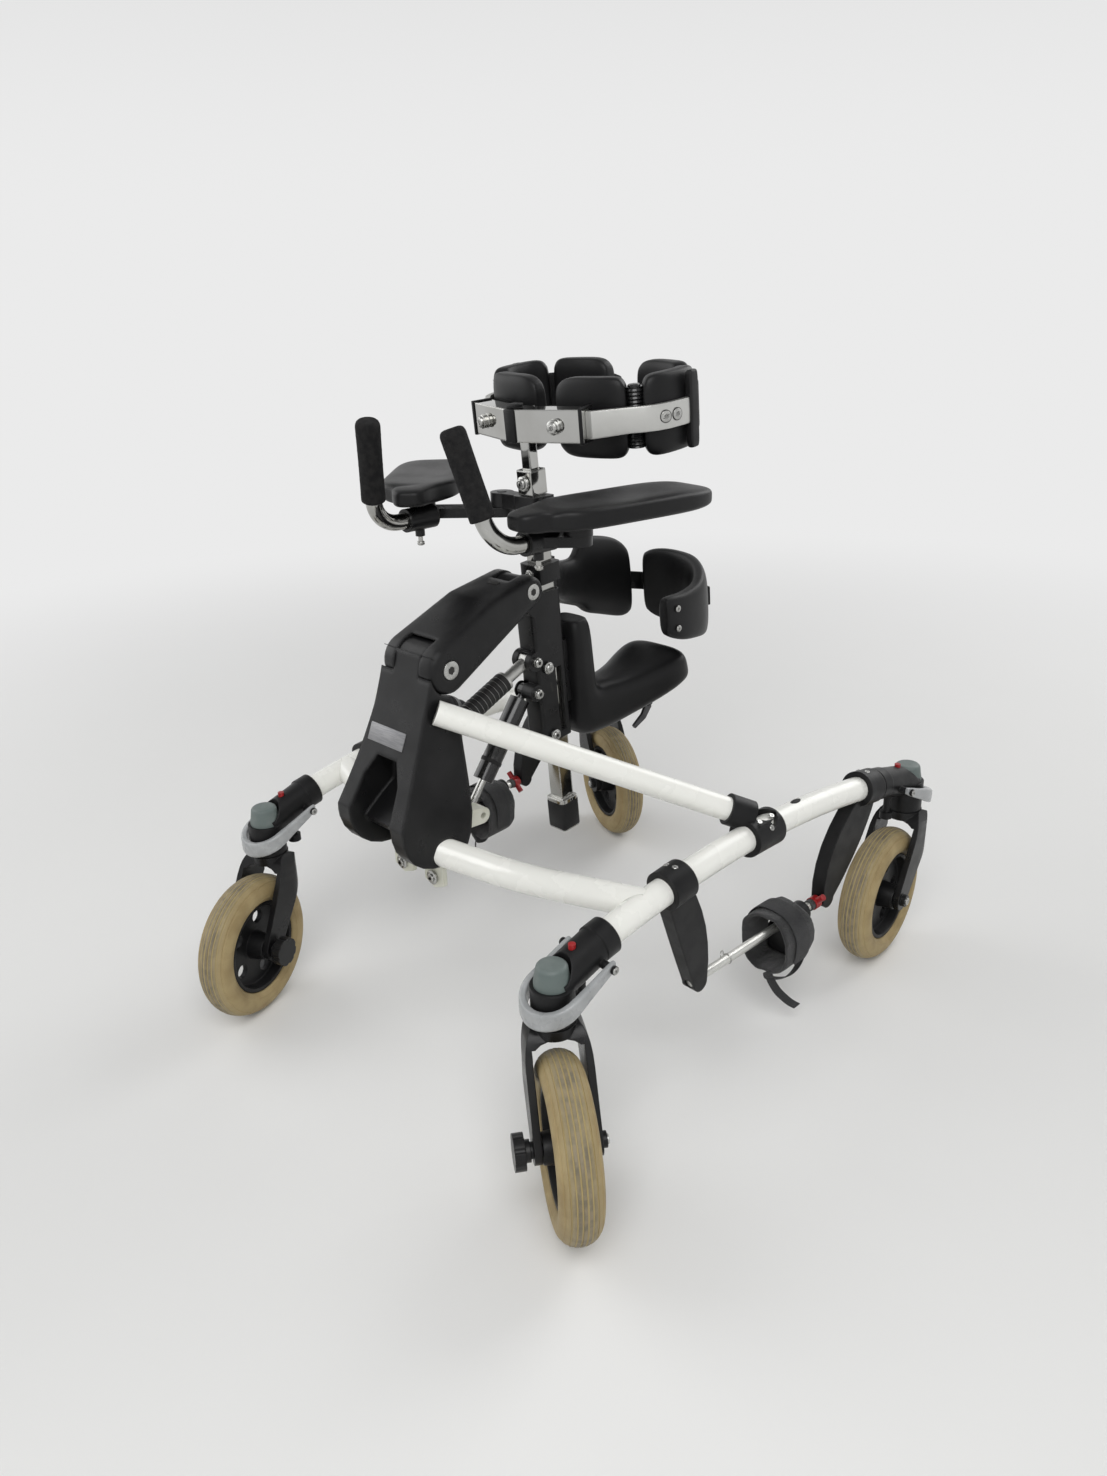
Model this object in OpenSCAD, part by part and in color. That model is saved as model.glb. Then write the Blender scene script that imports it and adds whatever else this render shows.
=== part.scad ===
// Gait trainer: a four-caster walking frame with a sprung mast that carries a saddle,
// a pelvic support, two forearm rests and a chest support, and ankle guides along the side rails.
// Lengths are in millimetres. +X is the walker's left, +Y is rearwards, +Z is up.

/* [Footprint] */
// Distance between the two front swivel axes
front_track = 566; // [520:1:620]
// Distance between the two rear swivel axes
rear_track = 616; // [560:1:680]
// Distance from the front swivel axes back to the rear ones
wheelbase_l = 711; // [680:1:780]

/* [Casters] */
// Diameter of the tyre
wheel_d = 200; // [180:1:220]
// Width of the tyre
tyre_w = 48; // [40:1:52]
// Diameter at which the tyre sits on its rim
rim_d = 116; // [100:1:126]
// Distance from the swivel axis to the axle
trail = 63; // [50:1:72]
// Directions in which the casters trail: front left, front right, rear left, rear right
caster_turns = [325, 292, 275, 336]; // [0:1:360]
// Height of the rail axis above the top of the tyre
rail_over_wheel = 84; // [78:1:100]
// Diameter of the swivel housing
housing_d = 49; // [44:1:50]
// Height of the swivel housing
housing_h = 44; // [38:1:45]
// Diameter of the caster arm that holds the rail end
arm_tube_d = 44; // [41:1:48]
// Diameter of the cap on the swivel housing
cap_d = 41; // [34:1:43]
// Height of the cap
cap_h = 26; // [18:1:34]
// Thickness of the fork legs
fork_leg_t = 8.5; // [6:0.5:11]
// Diameter of the axle
axle_d = 12; // [10:1:14]
// Diameter of the red release button
button_d = 8.4; // [6:0.2:10]
// Travel of the red release button
button_travel = 3; // [2:0.5:4]
// Thickness of the bail lever seen from above
bail_t = 7.5; // [5:0.5:9]
// Height of the bail lever's section
bail_h = 14; // [10:1:16]
// Diameter of the drag knob on a front axle
drag_knob_d = 40; // [30:1:46]

/* [Frame] */
// Diameter of the side rails
rail_d = 34; // [30:1:36]
// Where the visible rail starts, behind the front swivel axis
rail_front = 82; // [76:1:95]
// Where the visible rail ends, before the rear swivel axis
rail_rear = 96; // [90:1:110]
// Height by which the middle of a side rail arches above its ends
rail_rise = 25; // [18:1:30]
// Diameter of the bent front tubes
front_tube_d = 36; // [30:1:38]
// Diameter of the struts from the tower to the rails
strut_d = 30; // [26:1:32]
// Wall of the frame tubes
tube_wall = 2.5; // [1.5:0.5:4]
// Where the front tubes meet the rails, behind the front swivel axis
front_tube_y = 146; // [140:1:150]
// Where the struts meet the rails, behind the front swivel axis
strut_y = 352; // [330:1:370]
// Length of the strut clamps along the rail
clamp_len = 52; // [40:1:60]

/* [Ankle guides] */
// Where the front horns are clamped, behind the front swivel axis
horn_front_y = 192; // [188:1:200]
// Where the rear horns are clamped, before the rear swivel axis
horn_rear_y = 118; // [116:1:126]
// Drop from the rail axis to the guide rod
guide_drop = 136; // [120:1:150]
// Distance that a horn sweeps towards the middle of the rail
horn_sweep = 44; // [36:1:60]
// Thickness of a horn
horn_t = 20; // [14:1:26]
// Diameter of the guide rod
guide_d = 12; // [8:1:14]
// Outer diameter of the ankle cuff
cuff_d = 88; // [76:1:100]
// Height of the ankle cuff
cuff_h = 80; // [70:1:92]
// Thickness of the ankle cuff
cuff_t = 11; // [8:1:14]
// Where the ankle cuff stands along the guide rod, behind the front swivel axis
cuff_y = 436; // [425:1:440]

/* [Tower and suspension] */
// Where the upper arm pivots, behind the front swivel axes
arm_pivot_y = 84; // [80:1:90]
// Height of the upper arm's pivot above the rail axis
tower_h = 252; // [240:1:265]
// Width of the tower at its foot
tower_w = 130; // [122:1:150]
// Depth of the tower
tower_d = 100; // [96:1:106]
// Distance that the upper arm reaches back, between its pivots
arm_reach = 145; // [140:1:152]
// Distance that the upper arm rises, between its pivots
arm_rise = 61; // [52:1:66]
// Width of the upper arm at the tower
arm_w = 92; // [88:1:96]
// Width of the upper arm at the mast
arm_tip_w = 72; // [68:1:78]
// Radius of the upper arm round the tower pivot
arm_root_r = 30; // [29:0.5:31]
// Radius of the upper arm round the mast pivot
arm_tip_r = 19; // [17:0.5:19.5]
// How far the lower link's pivots lie behind the arm's
link_back = 20; // [18:1:22]
// How far the lower link's pivots lie below the arm's
link_drop = 100; // [92:1:104]
// Diameter of the lower link's sleeve
link_sleeve_d = 26; // [22:1:28]
// Diameter of the gas spring's cylinder
gas_d = 27; // [22:1:28]
// Diameter of the gas spring's rod
gas_rod_d = 10; // [8:1:12]

/* [Mast and post] */
// Where the post's axis passes the rail height, behind the front swivel axes
post_y = 305; // [302:1:308]
// Lean of the mast towards the front, in degrees
lean = 4.8; // [4.4:0.1:5.2]
// Width of the square post
post_w = 22; // [20:1:24]
// Width of the mast
mast_w = 32; // [30:1:36]
// Length of the mast
mast_h = 206; // [200:1:210]
// Height of the mast's foot above the rail axis, along the post
mast_z = 96; // [92:1:100]
// Height of the post's top above the rail axis
post_top = 425; // [420:1:432]
// Length of the post below the rail axis, with its end cap
post_below = 48; // [40:1:60]
// Width of the square chest post
chest_post_w = 14; // [12:1:15]

/* [Saddle] */
// Width of the saddle's upright front
saddle_front_w = 60; // [50:1:66]
// Width of the saddle at its rear
saddle_rear_w = 128; // [116:1:140]
// Length of the saddle behind the mast
saddle_l = 207; // [190:1:215]
// Height of the saddle's upright front
saddle_h = 175; // [168:1:182]

/* [Pelvic support] */
// Half width of the pelvic support at its strap
pelvic_half_w = 118; // [105:1:130]
// Length of the pelvic support behind the post
pelvic_l = 313; // [295:1:325]
// Thickness of the pelvic pads
pelvic_pad_t = 24; // [18:1:28]
// Thickness of the pelvic strap
strap_t = 4; // [3:0.5:5]

/* [Forearm rests] */
// Height of the crossbar's axis above the rail axis
crossbar_z = 411; // [405:1:414]
// Half length of the crossbar between its end pivots
crossbar_half = 58; // [54:1:64]
// Length of a forearm pad
forearm_l = 266; // [250:1:280]
// Length of a forearm pad ahead of its pivot
forearm_nose_l = 90; // [80:1:96]
// Width of a forearm pad
forearm_w = 98; // [86:1:106]
// Thickness of a forearm pad
forearm_t = 28; // [24:1:34]
// How far the left and the right forearm pad turn outwards, in degrees
forearm_turns = [9, 43]; // [0:1:50]
// Diameter of the handle tubes
handle_d = 20; // [18:1:22]
// Diameter of the foam grips
grip_d = 29; // [26:1:34]
// Length of the foam grips
grip_l = 100; // [85:1:108]

/* [Chest support] */
// Height of the chest support above the rail axis, along the post
chest_z = 511; // [505:1:520]
// Half width of the ring on which the chest pads lie
chest_half_w = 130; // [122:1:140]
// Half depth of the ring on which the chest pads lie
chest_half_d = 70; // [64:1:76]
// Height of the chest pads
chest_pad_h = 94; // [80:1:104]
// Thickness of the chest pads
chest_pad_t = 26; // [20:1:28]
// Height of the chrome bracket's tubes
chest_tube_h = 38; // [34:1:42]
// Depth of the chrome bracket's tubes
chest_tube_d = 24; // [20:1:26]
// Thickness of the curved chest bars
chest_bar_t = 8; // [6:0.5:9]

/* [Hidden] */
// Overrun of every cut
over = 1;
// Gap between pieces that move on each other without touching
gap = 0.35;
// Radial clearance of a running pin
run = 0.05;
// Clearance of a fixed fit
seat = 0.12;
$fn = 48;
corner_names = ["front_left", "front_right", "rear_left", "rear_right"];
side_names = ["left", "right"];

// Heights and plan of the frame
rail_z = wheel_d + rail_over_wheel;
rail_turn = atan2((rear_track - front_track) / 2, wheelbase_l);
base_len = norm([wheelbase_l, (rear_track - front_track) / 2]);
rail_r = rail_d / 2;
rail_chord = base_len - rail_front - rail_rear;
rail_mid = rail_front + rail_chord / 2;
rail_bow_r = (rail_chord * rail_chord / 4 + rail_rise * rail_rise) / (2 * rail_rise);
mouth_slope = asin(rail_chord / 2 / rail_bow_r);
function rail_up(y) = sqrt(rail_bow_r * rail_bow_r - (y - rail_mid) * (y - rail_mid)) - rail_bow_r
    + rail_rise;
function rail_slope(y) = asin((rail_mid - y) / rail_bow_r);
function rail_x(y) = front_track / 2 + y * tan(rail_turn);

// Caster
wheel_r = wheel_d / 2;
rim_r = rim_d / 2;
tyre_mid_r = (wheel_r + rim_r) / 2;
tyre_half_h = wheel_r - tyre_mid_r;
arm_dip = 24;
cap_seat = 1;
stem_roof = 7;
housing_r = housing_d / 2;
housing_top = rail_z - arm_dip + cap_seat;
housing_foot = housing_top - housing_h;
stem_r = 10;
stem_top = housing_top - stem_roof;
crown_top = housing_foot - gap;
crown_r = housing_r + cap_seat;
wheel_play = 4.5;
fork_inner = tyre_w / 2 + wheel_play;
fork_outer = fork_inner + fork_leg_t;
arch_z = wheel_d + wheel_play;
axle_r = axle_d / 2;
sleeve_len = 20;
socket_len = 38;
socket_ease = 0.15;
sleeve_lip = 0.8;
button_y = 30;
button_proud = 4.5;
button_len = 12;
bail_pivot_y = 54;
bail_pivot_drop = 14;
bail_pivot_z = rail_z - bail_pivot_drop;
bail_play = 5.8;
bail_inner = housing_r + bail_play;
bail_mid = bail_inner + bail_t / 2;
bail_up = 29;
bail_tip_z = housing_foot + bail_up;
bail_tilt = atan2(bail_pivot_z - bail_tip_z, bail_pivot_y);
bail_len = norm([bail_pivot_y, bail_pivot_z - bail_tip_z]);
bail_boss_r = 5;
bail_pin_r = 3;
head_t = 3;

// Middle of the footprint: the box round the turned wheels and the rear bails
function swivel_x(i) = (i % 2 == 0 ? 1 : -1) * (i < 2 ? front_track : rear_track) / 2;
function swivel_y(i) = i < 2 ? 0 : wheelbase_l;
function tyre_reach(c, s) = (wheel_r - tyre_half_h) * abs(c)
    + norm([tyre_half_h * c, tyre_w / 2 * s]);
function axle_x(i) = swivel_x(i) + trail * cos(caster_turns[i]);
function axle_y(i) = swivel_y(i) + trail * sin(caster_turns[i]);
function reach_x(i) = tyre_reach(cos(caster_turns[i]), sin(caster_turns[i]));
function reach_y(i) = tyre_reach(sin(caster_turns[i]), cos(caster_turns[i]));
corner_ids = [0, 1, 2, 3];
bail_pin_half = bail_inner + bail_t + gap + head_t;
bail_out = rear_track / 2 + bail_pin_half * cos(rail_turn) + (bail_boss_r - bail_pivot_y) * sin(rail_turn);
mid_x = (max(concat([bail_out], [for (i = corner_ids) axle_x(i) + reach_x(i)]))
    + min(concat([-bail_out], [for (i = corner_ids) axle_x(i) - reach_x(i)]))) / 2;
mid_y = (max([for (i = corner_ids) axle_y(i) + reach_y(i)])
    + min([for (i = corner_ids) axle_y(i) - reach_y(i)])) / 2;

// Pivots of the suspension, in the plane of symmetry
arm_pivot = [0, arm_pivot_y, rail_z + tower_h];
mast_pivot = arm_pivot + [0, arm_reach, arm_rise];
link_pivot = arm_pivot + [0, link_back, -link_drop];
link_mast_pivot = mast_pivot + [0, link_back, -link_drop];
gas_x = -9;
gas_back = 59;
gas_up = 34;
gas_drop = 43;
gas_pivot = [gas_x, arm_pivot_y + gas_back, rail_z + gas_up];
gas_mast_pivot = link_mast_pivot + [gas_x, 0, -gas_drop];
knuckle_half = 23;
knuckle_play = 2;
arm_pin_r = 8;
arm_head_r = 11;
mast_pin_r = 7;
mast_head_r = 10;
link_pin_r = 4;
link_eye_r = 11;
link_eye_half = 7;
link_rod_r = 8;
gas_eye_r = 9;
gas_eye_half = 5.2;
gas_eye_play = 2.4;
lug_wall = 2;
column_half = 18.5;
column_d = 30;
column_front = arm_pivot_y - column_d;
column_back = arm_pivot_y;
knuckle_shell = 7;
knuckle_steel_r = arm_root_r - knuckle_shell;

// Mast
mast_front = 37;
mast_back = 16;
mast_edge = 5;
mast_lug_half = mast_w / 2;
bore_w = post_w + 2 * gap;
block_w = 26;
block_h = 30;
cap_w = 32;

// Lay points of the plane of symmetry out along the leaning mast
function leaned(p) = [(p.y - post_y) * cos(lean) + (p.z - rail_z) * sin(lean),
    (p.z - rail_z) * cos(lean) - (p.y - post_y) * sin(lean)];
function unit(v) = v / norm(v);
function bow(x, e) = sign(x) * pow(abs(x), e);
function bend(a, b, c, n) = [for (i = [0:n]) let (t = i / n)
    a * (1 - t) * (1 - t) + 2 * b * t * (1 - t) + c * t * t];
// Round-cornered rectangle
function round_rect(w, h, r, n = 4) = [for (k = [0:3], i = [0:n])
    let (a = 90 * k + 90 * i / n, sx = (k == 0 || k == 3) ? 1 : -1, sy = k < 2 ? 1 : -1)
    [sx * (w / 2 - r) + r * cos(a), sy * (h / 2 - r) + r * sin(a)]];
// Outline round two circles, tangent to both
function taper(c1, r1, c2, r2, n = 12)
    = let (d = c2 - c1, a = atan2(d.y, d.x), b = acos((r1 - r2) / norm(d)))
    concat([for (i = [0:n]) let (t = a + b + (360 - 2 * b) * i / n) c1 + r1 * [cos(t), sin(t)]],
        [for (i = [0:n]) let (t = a - b + 2 * b * i / n) c2 + r2 * [cos(t), sin(t)]]);
function mean(ps) = [for (k = [0:2]) [for (p = ps) p[k]] * [for (p = ps) 1] / len(ps)];
// Ring of a soft section: half sizes along u and v, squarer as the power grows
function soft_ring(c, u, v, power, n) = [for (i = [0:n - 1]) let (a = 360 * i / n)
    c + u * bow(cos(a), 2 / power) + v * bow(sin(a), 2 / power)];

// Closed solid through rings of equal count, which may run round either way
function total(vs) = [for (v = vs) 1] * vs;
function ring_sense(r, ahead) = let (c = mean(r), n = len(r))
    total([for (i = [0:n - 1]) cross(r[i] - c, r[(i + 1) % n] - c)]) * ahead;
module loft(rings) {
    n = len(rings[0]);
    m = len(rings);
    k = floor((m - 1) / 2);
    sense = ring_sense(rings[k], mean(rings[k + 1]) - mean(rings[k]));
    rows = sense > 0 ? rings : [for (r = rings) [for (i = [n - 1:-1:0]) r[i]]];
    points = concat([for (r = rows) each r], [mean(rows[0]), mean(rows[m - 1])]);
    sides = [for (j = [0:m - 2], i = [0:n - 1]) let (a = j * n + i, b = j * n + (i + 1) % n)
        each [[a, a + n, b], [b, a + n, b + n]]];
    first = [for (i = [0:n - 1]) [m * n, i, (i + 1) % n]];
    last = [for (i = [0:n - 1]) [m * n + 1, (m - 1) * n + (i + 1) % n, (m - 1) * n + i]];
    polyhedron(points, concat(sides, first, last));
}

module along(p0, p1) {
    d = p1 - p0;
    translate(p0) rotate([0, acos(d.z / norm(d)), atan2(d.y, d.x)]) children();
}

module rod(p0, p1, r) along(p0, p1) cylinder(h = norm(p1 - p0), r = r);

// Round rod from p0 by way of p1 to p2, with one bend
module bent_rod(p0, p1, p2, r, bend_r) {
    d1 = unit(p1 - p0);
    d2 = unit(p2 - p1);
    turn = acos(d1 * d2);
    n = unit(cross(d1, d2));
    s = cross(n, d1);
    cut = bend_r * tan(turn / 2);
    l1 = norm(p1 - p0) - cut;
    l2 = norm(p2 - p1) - cut;
    multmatrix([[d1.x, s.x, n.x, p0.x], [d1.y, s.y, n.y, p0.y], [d1.z, s.z, n.z, p0.z], [0, 0, 0, 1]]) {
        rotate([0, 90, 0]) cylinder(h = l1, r = r);
        translate([l1, bend_r, 0]) rotate([0, 0, -90])
            rotate_extrude(angle = turn) translate([bend_r, 0]) circle(r = r);
        translate([l1 + bend_r * sin(turn), bend_r - bend_r * cos(turn), 0]) rotate([0, 90, turn])
            cylinder(h = l2, r = r);
    }
}

// Cylinder and plate along X, centred on a point
module x_cylinder(p, half, r) translate(p) rotate([0, 90, 0]) cylinder(h = 2 * half, r = r, center = true);
module x_plate(half) rotate([90, 0, 90]) linear_extrude(2 * half, center = true) children();

// Frames in which pieces are drawn
module footprint() translate([-mid_x, -mid_y, 0]) children();
module sided(i) mirror([i, 0, 0]) children();
module rail_frame() translate([front_track / 2, 0, 0]) rotate([0, 0, -rail_turn]) children();
module corner(i) {
    rear = i < 2 ? 0 : 1;
    mirror([i % 2, 0, 0]) rail_frame() translate([0, rear * base_len, 0]) mirror([0, rear, 0]) children();
}
module caster(i) translate([swivel_x(i), swivel_y(i), 0]) rotate([0, 0, caster_turns[i]]) children();
module wheel_axis(i) caster(i) translate([trail, 0, wheel_r]) rotate([90, 0, 0]) children();
module leaning() translate([0, post_y, rail_z]) rotate([lean, 0, 0]) children();

// Frame tubes
tube_root_x = 54;
tube_root_ahead = 44;
tube_root_up = 38;
knee_x = 139;
knee_ahead = 54;
knee_up = 10;
knee_r = 260;
strut_root_ahead = 27;
strut_root_up = 208;
strut_root_x = 46;
strut_in = 8;
strut_ahead = 6;
strut_over = 21;
front_tube_start = [tube_root_x, arm_pivot_y - tube_root_ahead, rail_z + tube_root_up];
front_tube_knee = [knee_x, front_tube_y - knee_ahead, rail_z + knee_up];
front_tube_end = [rail_x(front_tube_y), front_tube_y, rail_z + rail_up(front_tube_y)];
strut_start = [strut_root_x, arm_pivot_y - strut_root_ahead, rail_z + strut_root_up];
strut_end = [rail_x(strut_y) - strut_in, strut_y - strut_ahead, rail_z + rail_up(strut_y) + strut_over];
strut_dir = unit(strut_end - strut_start);
clamp_wall = 7.5;
socket_wall = 5;
strut_end_gap = 2;

// Arched round bar of a rail: its middle lies at mid, and it reaches half a length to either side
module rail_arch(r, mid, half) translate([0, mid, rail_z + rail_rise - rail_bow_r]) rotate([0, -90, 0])
    rotate([0, 0, -asin(half / rail_bow_r)])
        rotate_extrude(angle = 2 * asin(half / rail_bow_r), $fn = 20 * $fn)
            translate([rail_bow_r, 0]) circle(r = r, $fn = $fn / 20);
module rail_solid(r, more = 0) rail_frame()
    rail_arch(r, rail_mid, rail_chord / 2 + socket_len - over + more);
module on_rail(y) translate([0, y, rail_z + rail_up(y)]) rotate([rail_slope(y) - 90, 0, 0]) children();

module side_rails() color("white") footprint() for (i = [0, 1]) sided(i) difference() {
    rail_solid(rail_r);
    rail_solid(rail_r - tube_wall, over);
}

module cross_tubes() color("white") footprint() for (i = [0, 1]) sided(i) {
    difference() {
        bent_rod(front_tube_start, front_tube_knee, front_tube_end, front_tube_d / 2, knee_r);
        bent_rod(front_tube_start - unit(front_tube_knee - front_tube_start) * over, front_tube_knee,
            front_tube_end, front_tube_d / 2 - tube_wall, knee_r);
        rail_solid(rail_r + seat);
    }
    difference() {
        rod(strut_start, strut_end, strut_d / 2);
        rod(strut_start - strut_dir * over, strut_end + strut_dir * over, strut_d / 2 - tube_wall);
        rail_solid(rail_r + strut_end_gap);
    }
}

module strut_clamp() difference() {
    union() {
        rail_frame() on_rail(strut_y) cylinder(h = clamp_len, r = rail_r + clamp_wall, center = true);
        along(strut_end, strut_start) cylinder(h = clamp_len * 0.62, r = strut_d / 2 + socket_wall);
        rail_frame() translate([-rail_r - clamp_wall, strut_y - clamp_len * 0.36, rail_z
            + rail_up(strut_y)])
            cube([2 * rail_r + clamp_wall, clamp_len * 0.72, strut_over]);
    }
    rail_solid(rail_r + seat);
    along(strut_end, strut_start) translate([0, 0, -strut_d])
        cylinder(h = clamp_len + strut_d, r = strut_d / 2 + seat);
}

// Caster arms, caps, bails and buttons
module caster_arms() color([0.07, 0.07, 0.07]) footprint() for (i = corner_ids) corner(i)
    caster_arm(i < 2 ? rail_front : rail_rear);

function arm_end(rail_y) = [0, rail_y - sleeve_len / 2, rail_z - sleeve_len / 2 * tan(mouth_slope)];
// Height of the arm's upper surface at the button, and the button's foot
function arm_top(rail_y) = let (e = arm_end(rail_y), t = (e.z - rail_z + arm_dip) / e.y)
    rail_z - arm_dip + button_y * t + arm_tube_d / 2 * norm([1, t]);
function button_foot(rail_y) = arm_top(rail_y) + button_proud - button_len;

module caster_arm(rail_y) {
    knob_y = rail_y * 0.52;
    arm_r = arm_tube_d / 2;
    difference() {
        union() {
            translate([0, 0, housing_foot]) cylinder(h = housing_h, r = housing_r);
            rod([0, 0, rail_z - arm_dip], arm_end(rail_y), arm_r);
            translate([0, rail_y, rail_z]) rotate([mouth_slope + 90, 0, 0])
                cylinder(h = sleeve_len, r = arm_r + sleeve_lip);
            translate([0, knob_y, housing_foot]) cylinder(h = housing_h, r = bail_boss_r);
            translate([0, knob_y, housing_foot])
                cylinder(h = 2 * bail_boss_r, r = 1.8 * bail_boss_r);
            x_cylinder([0, bail_pivot_y, bail_pivot_z], bail_inner - gap, bail_boss_r);
            x_cylinder([0, bail_pivot_y, bail_pivot_z], bail_pin_half, bail_pin_r);
            for (s = [-1, 1])
                x_cylinder([s * (bail_pin_half - head_t / 2), bail_pivot_y, bail_pivot_z], head_t / 2,
                    bail_boss_r);
        }
        translate([0, 0, housing_top - cap_seat]) cylinder(h = 2 * arm_tube_d, r = cap_d / 2 + seat);
        translate([0, 0, housing_foot - over])
            cylinder(h = stem_top + over - housing_foot + gap, r = stem_r + run);
        along([0, rail_y - socket_len, rail_z + rail_up(rail_front - socket_len)], [0, rail_y, rail_z])
            cylinder(h = 2 * socket_len, r = rail_r + seat + socket_ease);
        translate([0, button_y, button_foot(rail_y) - button_travel - gap])
            cylinder(h = arm_tube_d, r = button_d / 2 + gap);
    }
}

cap_edge = 5;
module caster_caps() color([0.35, 0.40, 0.38]) footprint() for (i = corner_ids) corner(i)
    translate([0, 0, housing_top - cap_seat]) rotate_extrude()
        polygon(concat([[0, 0], [cap_d / 2, 0], [cap_d / 2, cap_h * 0.2]],
            [for (a = [0:15:90]) [cap_d / 2 * 0.86 - cap_edge + cap_edge * cos(a), cap_h - cap_edge
                + cap_edge * sin(a)]],
            [[0, cap_h]]));

module bail(i) color([0.62, 0.63, 0.64]) footprint() corner(i)
    translate([0, bail_pivot_y, bail_pivot_z]) rotate([bail_tilt, 0, 0]) {
        translate([0, -bail_len, 0]) rotate([0, 0, 180]) rotate_extrude(angle = 180)
            translate([bail_mid, 0]) polygon(round_rect(bail_t, bail_h, bail_t * 0.4));
        for (s = [-1, 1]) difference() {
            union() {
                translate([s * bail_mid, 0, 0]) rotate([90, 0, 0]) linear_extrude(bail_len)
                    polygon(round_rect(bail_t, bail_h, bail_t * 0.4));
                x_cylinder([s * bail_mid, 0, 0], bail_t / 2, bail_h / 2);
            }
            x_cylinder([s * bail_mid, 0, 0], bail_t, bail_pin_r + run);
        }
    }

module button(i) color("red") footprint() corner(i)
    translate([0, button_y, button_foot(i < 2 ? rail_front : rail_rear)])
        cylinder(h = button_len, d = button_d);

// Fork, tyre and rim of one caster
crown_mid_z = arch_z - crown_r / 2;
fork_nose_r = 16;
crown_shift = 6;
module fork_outline() polygon(concat(
    [[-fork_outer, wheel_r - fork_nose_r]],
    bend([-fork_outer, wheel_d * 0.88], [-fork_outer, crown_top - crown_r * 0.3], [-crown_r, crown_top], 5),
    bend([crown_r, crown_top], [fork_outer, crown_top - crown_r * 0.3], [fork_outer, wheel_d * 0.88], 5),
    [[fork_outer, wheel_r - fork_nose_r], [fork_inner, wheel_r - fork_nose_r]],
    bend([fork_inner, arch_z - fork_inner * 0.6], [fork_inner, arch_z], [0, arch_z], 5),
    bend([0, arch_z], [-fork_inner, arch_z], [-fork_inner, arch_z - fork_inner * 0.6], 5),
    [[-fork_inner, wheel_r - fork_nose_r]]));

module fork(i) color([0.05, 0.05, 0.05]) footprint() caster(i) {
    knob_side = i == 0 ? -1 : 1;
    difference() {
        union() {
            intersection() {
                rotate([90, 0, 90]) linear_extrude(4 * wheel_d, center = true) fork_outline();
                rotate([90, 0, 0]) linear_extrude(4 * fork_outer, center = true)
                    polygon(taper([0, crown_mid_z], crown_r, [trail, wheel_r], fork_nose_r));
                linear_extrude(2 * wheel_d) {
                    translate([crown_shift, 0]) circle(r = fork_outer);
                    translate([crown_shift, -fork_outer]) square([wheel_d, 2 * fork_outer]);
                }
            }
            translate([0, 0, arch_z]) cylinder(h = crown_top - arch_z, r = crown_r);
            translate([0, 0, crown_top - over]) cylinder(h = stem_top - crown_top + over, r = stem_r);
        }
        translate([trail, 0, wheel_r]) rotate([90, 0, 0])
            cylinder(h = 2 * fork_inner - gap, r = wheel_r + wheel_play, center = true);
        translate([trail, 0, wheel_r]) rotate([90, 0, 0])
            cylinder(h = 4 * fork_outer, r = axle_r + seat, center = true);
    }
    translate([trail, 0, wheel_r]) rotate([90, 0, 0]) {
        cylinder(h = 2 * (fork_outer + head_t), r = axle_r, center = true);
        for (s = [-1, 1]) translate([0, 0, s * (fork_outer + head_t)])
            cylinder(h = 2 * (head_t - seat), r = axle_r * 1.5, center = true);
        if (i < 2) mirror([0, 0, knob_side > 0 ? 1 : 0]) translate([0, 0, fork_outer + head_t]) drag_knob();
    }
}

drag_knob_t = 12;
module drag_knob() difference() {
    union() {
        cylinder(h = drag_knob_t, r = drag_knob_d * 0.3);
        translate([0, 0, drag_knob_t * 0.5]) cylinder(h = drag_knob_t, d = drag_knob_d);
    }
    for (a = [0:45:315]) rotate([0, 0, a]) translate([drag_knob_d * 0.56, 0, drag_knob_t * 0.4])
        cylinder(h = 2 * drag_knob_t, r = drag_knob_d * 0.1);
}

groove_w = 2.2;
bead_angle = 132;
module tyre(i) color([0.63, 0.53, 0.34]) footprint() wheel_axis(i) rotate_extrude() difference() {
    polygon([for (a = [-bead_angle:bead_angle / 16:bead_angle])
        [tyre_mid_r + tyre_half_h * cos(a), tyre_w / 2 * sin(a)]]);
    for (share = [-0.62, -0.22, 0.22, 0.62]) translate(
        [tyre_mid_r + tyre_half_h * sqrt(1 - share * share), share * tyre_w / 2])
        square([1.6 * groove_w, groove_w], center = true);
}

hub_play = 1.4;
hub_half = fork_inner - hub_play;
hub_r = 17;
web_flare = 3;
bead_t = 5;
rim_bead_w = tyre_w * 0.74;
web_t = 7;
bead_r = tyre_mid_r + tyre_half_h * cos(bead_angle) - seat;
module rim(i) color([0.04, 0.04, 0.04]) footprint() wheel_axis(i) difference() {
    rotate_extrude() polygon([
        [axle_r + run, -hub_half], [hub_r, -hub_half], [hub_r + web_flare, -web_t / 2],
        [bead_r - bead_t - web_flare, -web_t / 2], [bead_r - bead_t, -rim_bead_w / 2],
            [bead_r, -rim_bead_w / 2],
        [bead_r, rim_bead_w / 2], [bead_r - bead_t, rim_bead_w / 2],
            [bead_r - bead_t - web_flare, web_t / 2],
        [hub_r + web_flare, web_t / 2], [hub_r, hub_half], [axle_r + run, hub_half]]);
    for (a = [0:72:288]) rotate([0, 0, a + 36]) translate([(hub_r + bead_r) / 2, 0, 0])
        cylinder(h = 2 * web_t, r = (bead_r - hub_r) * 0.2, center = true);
}

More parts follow.
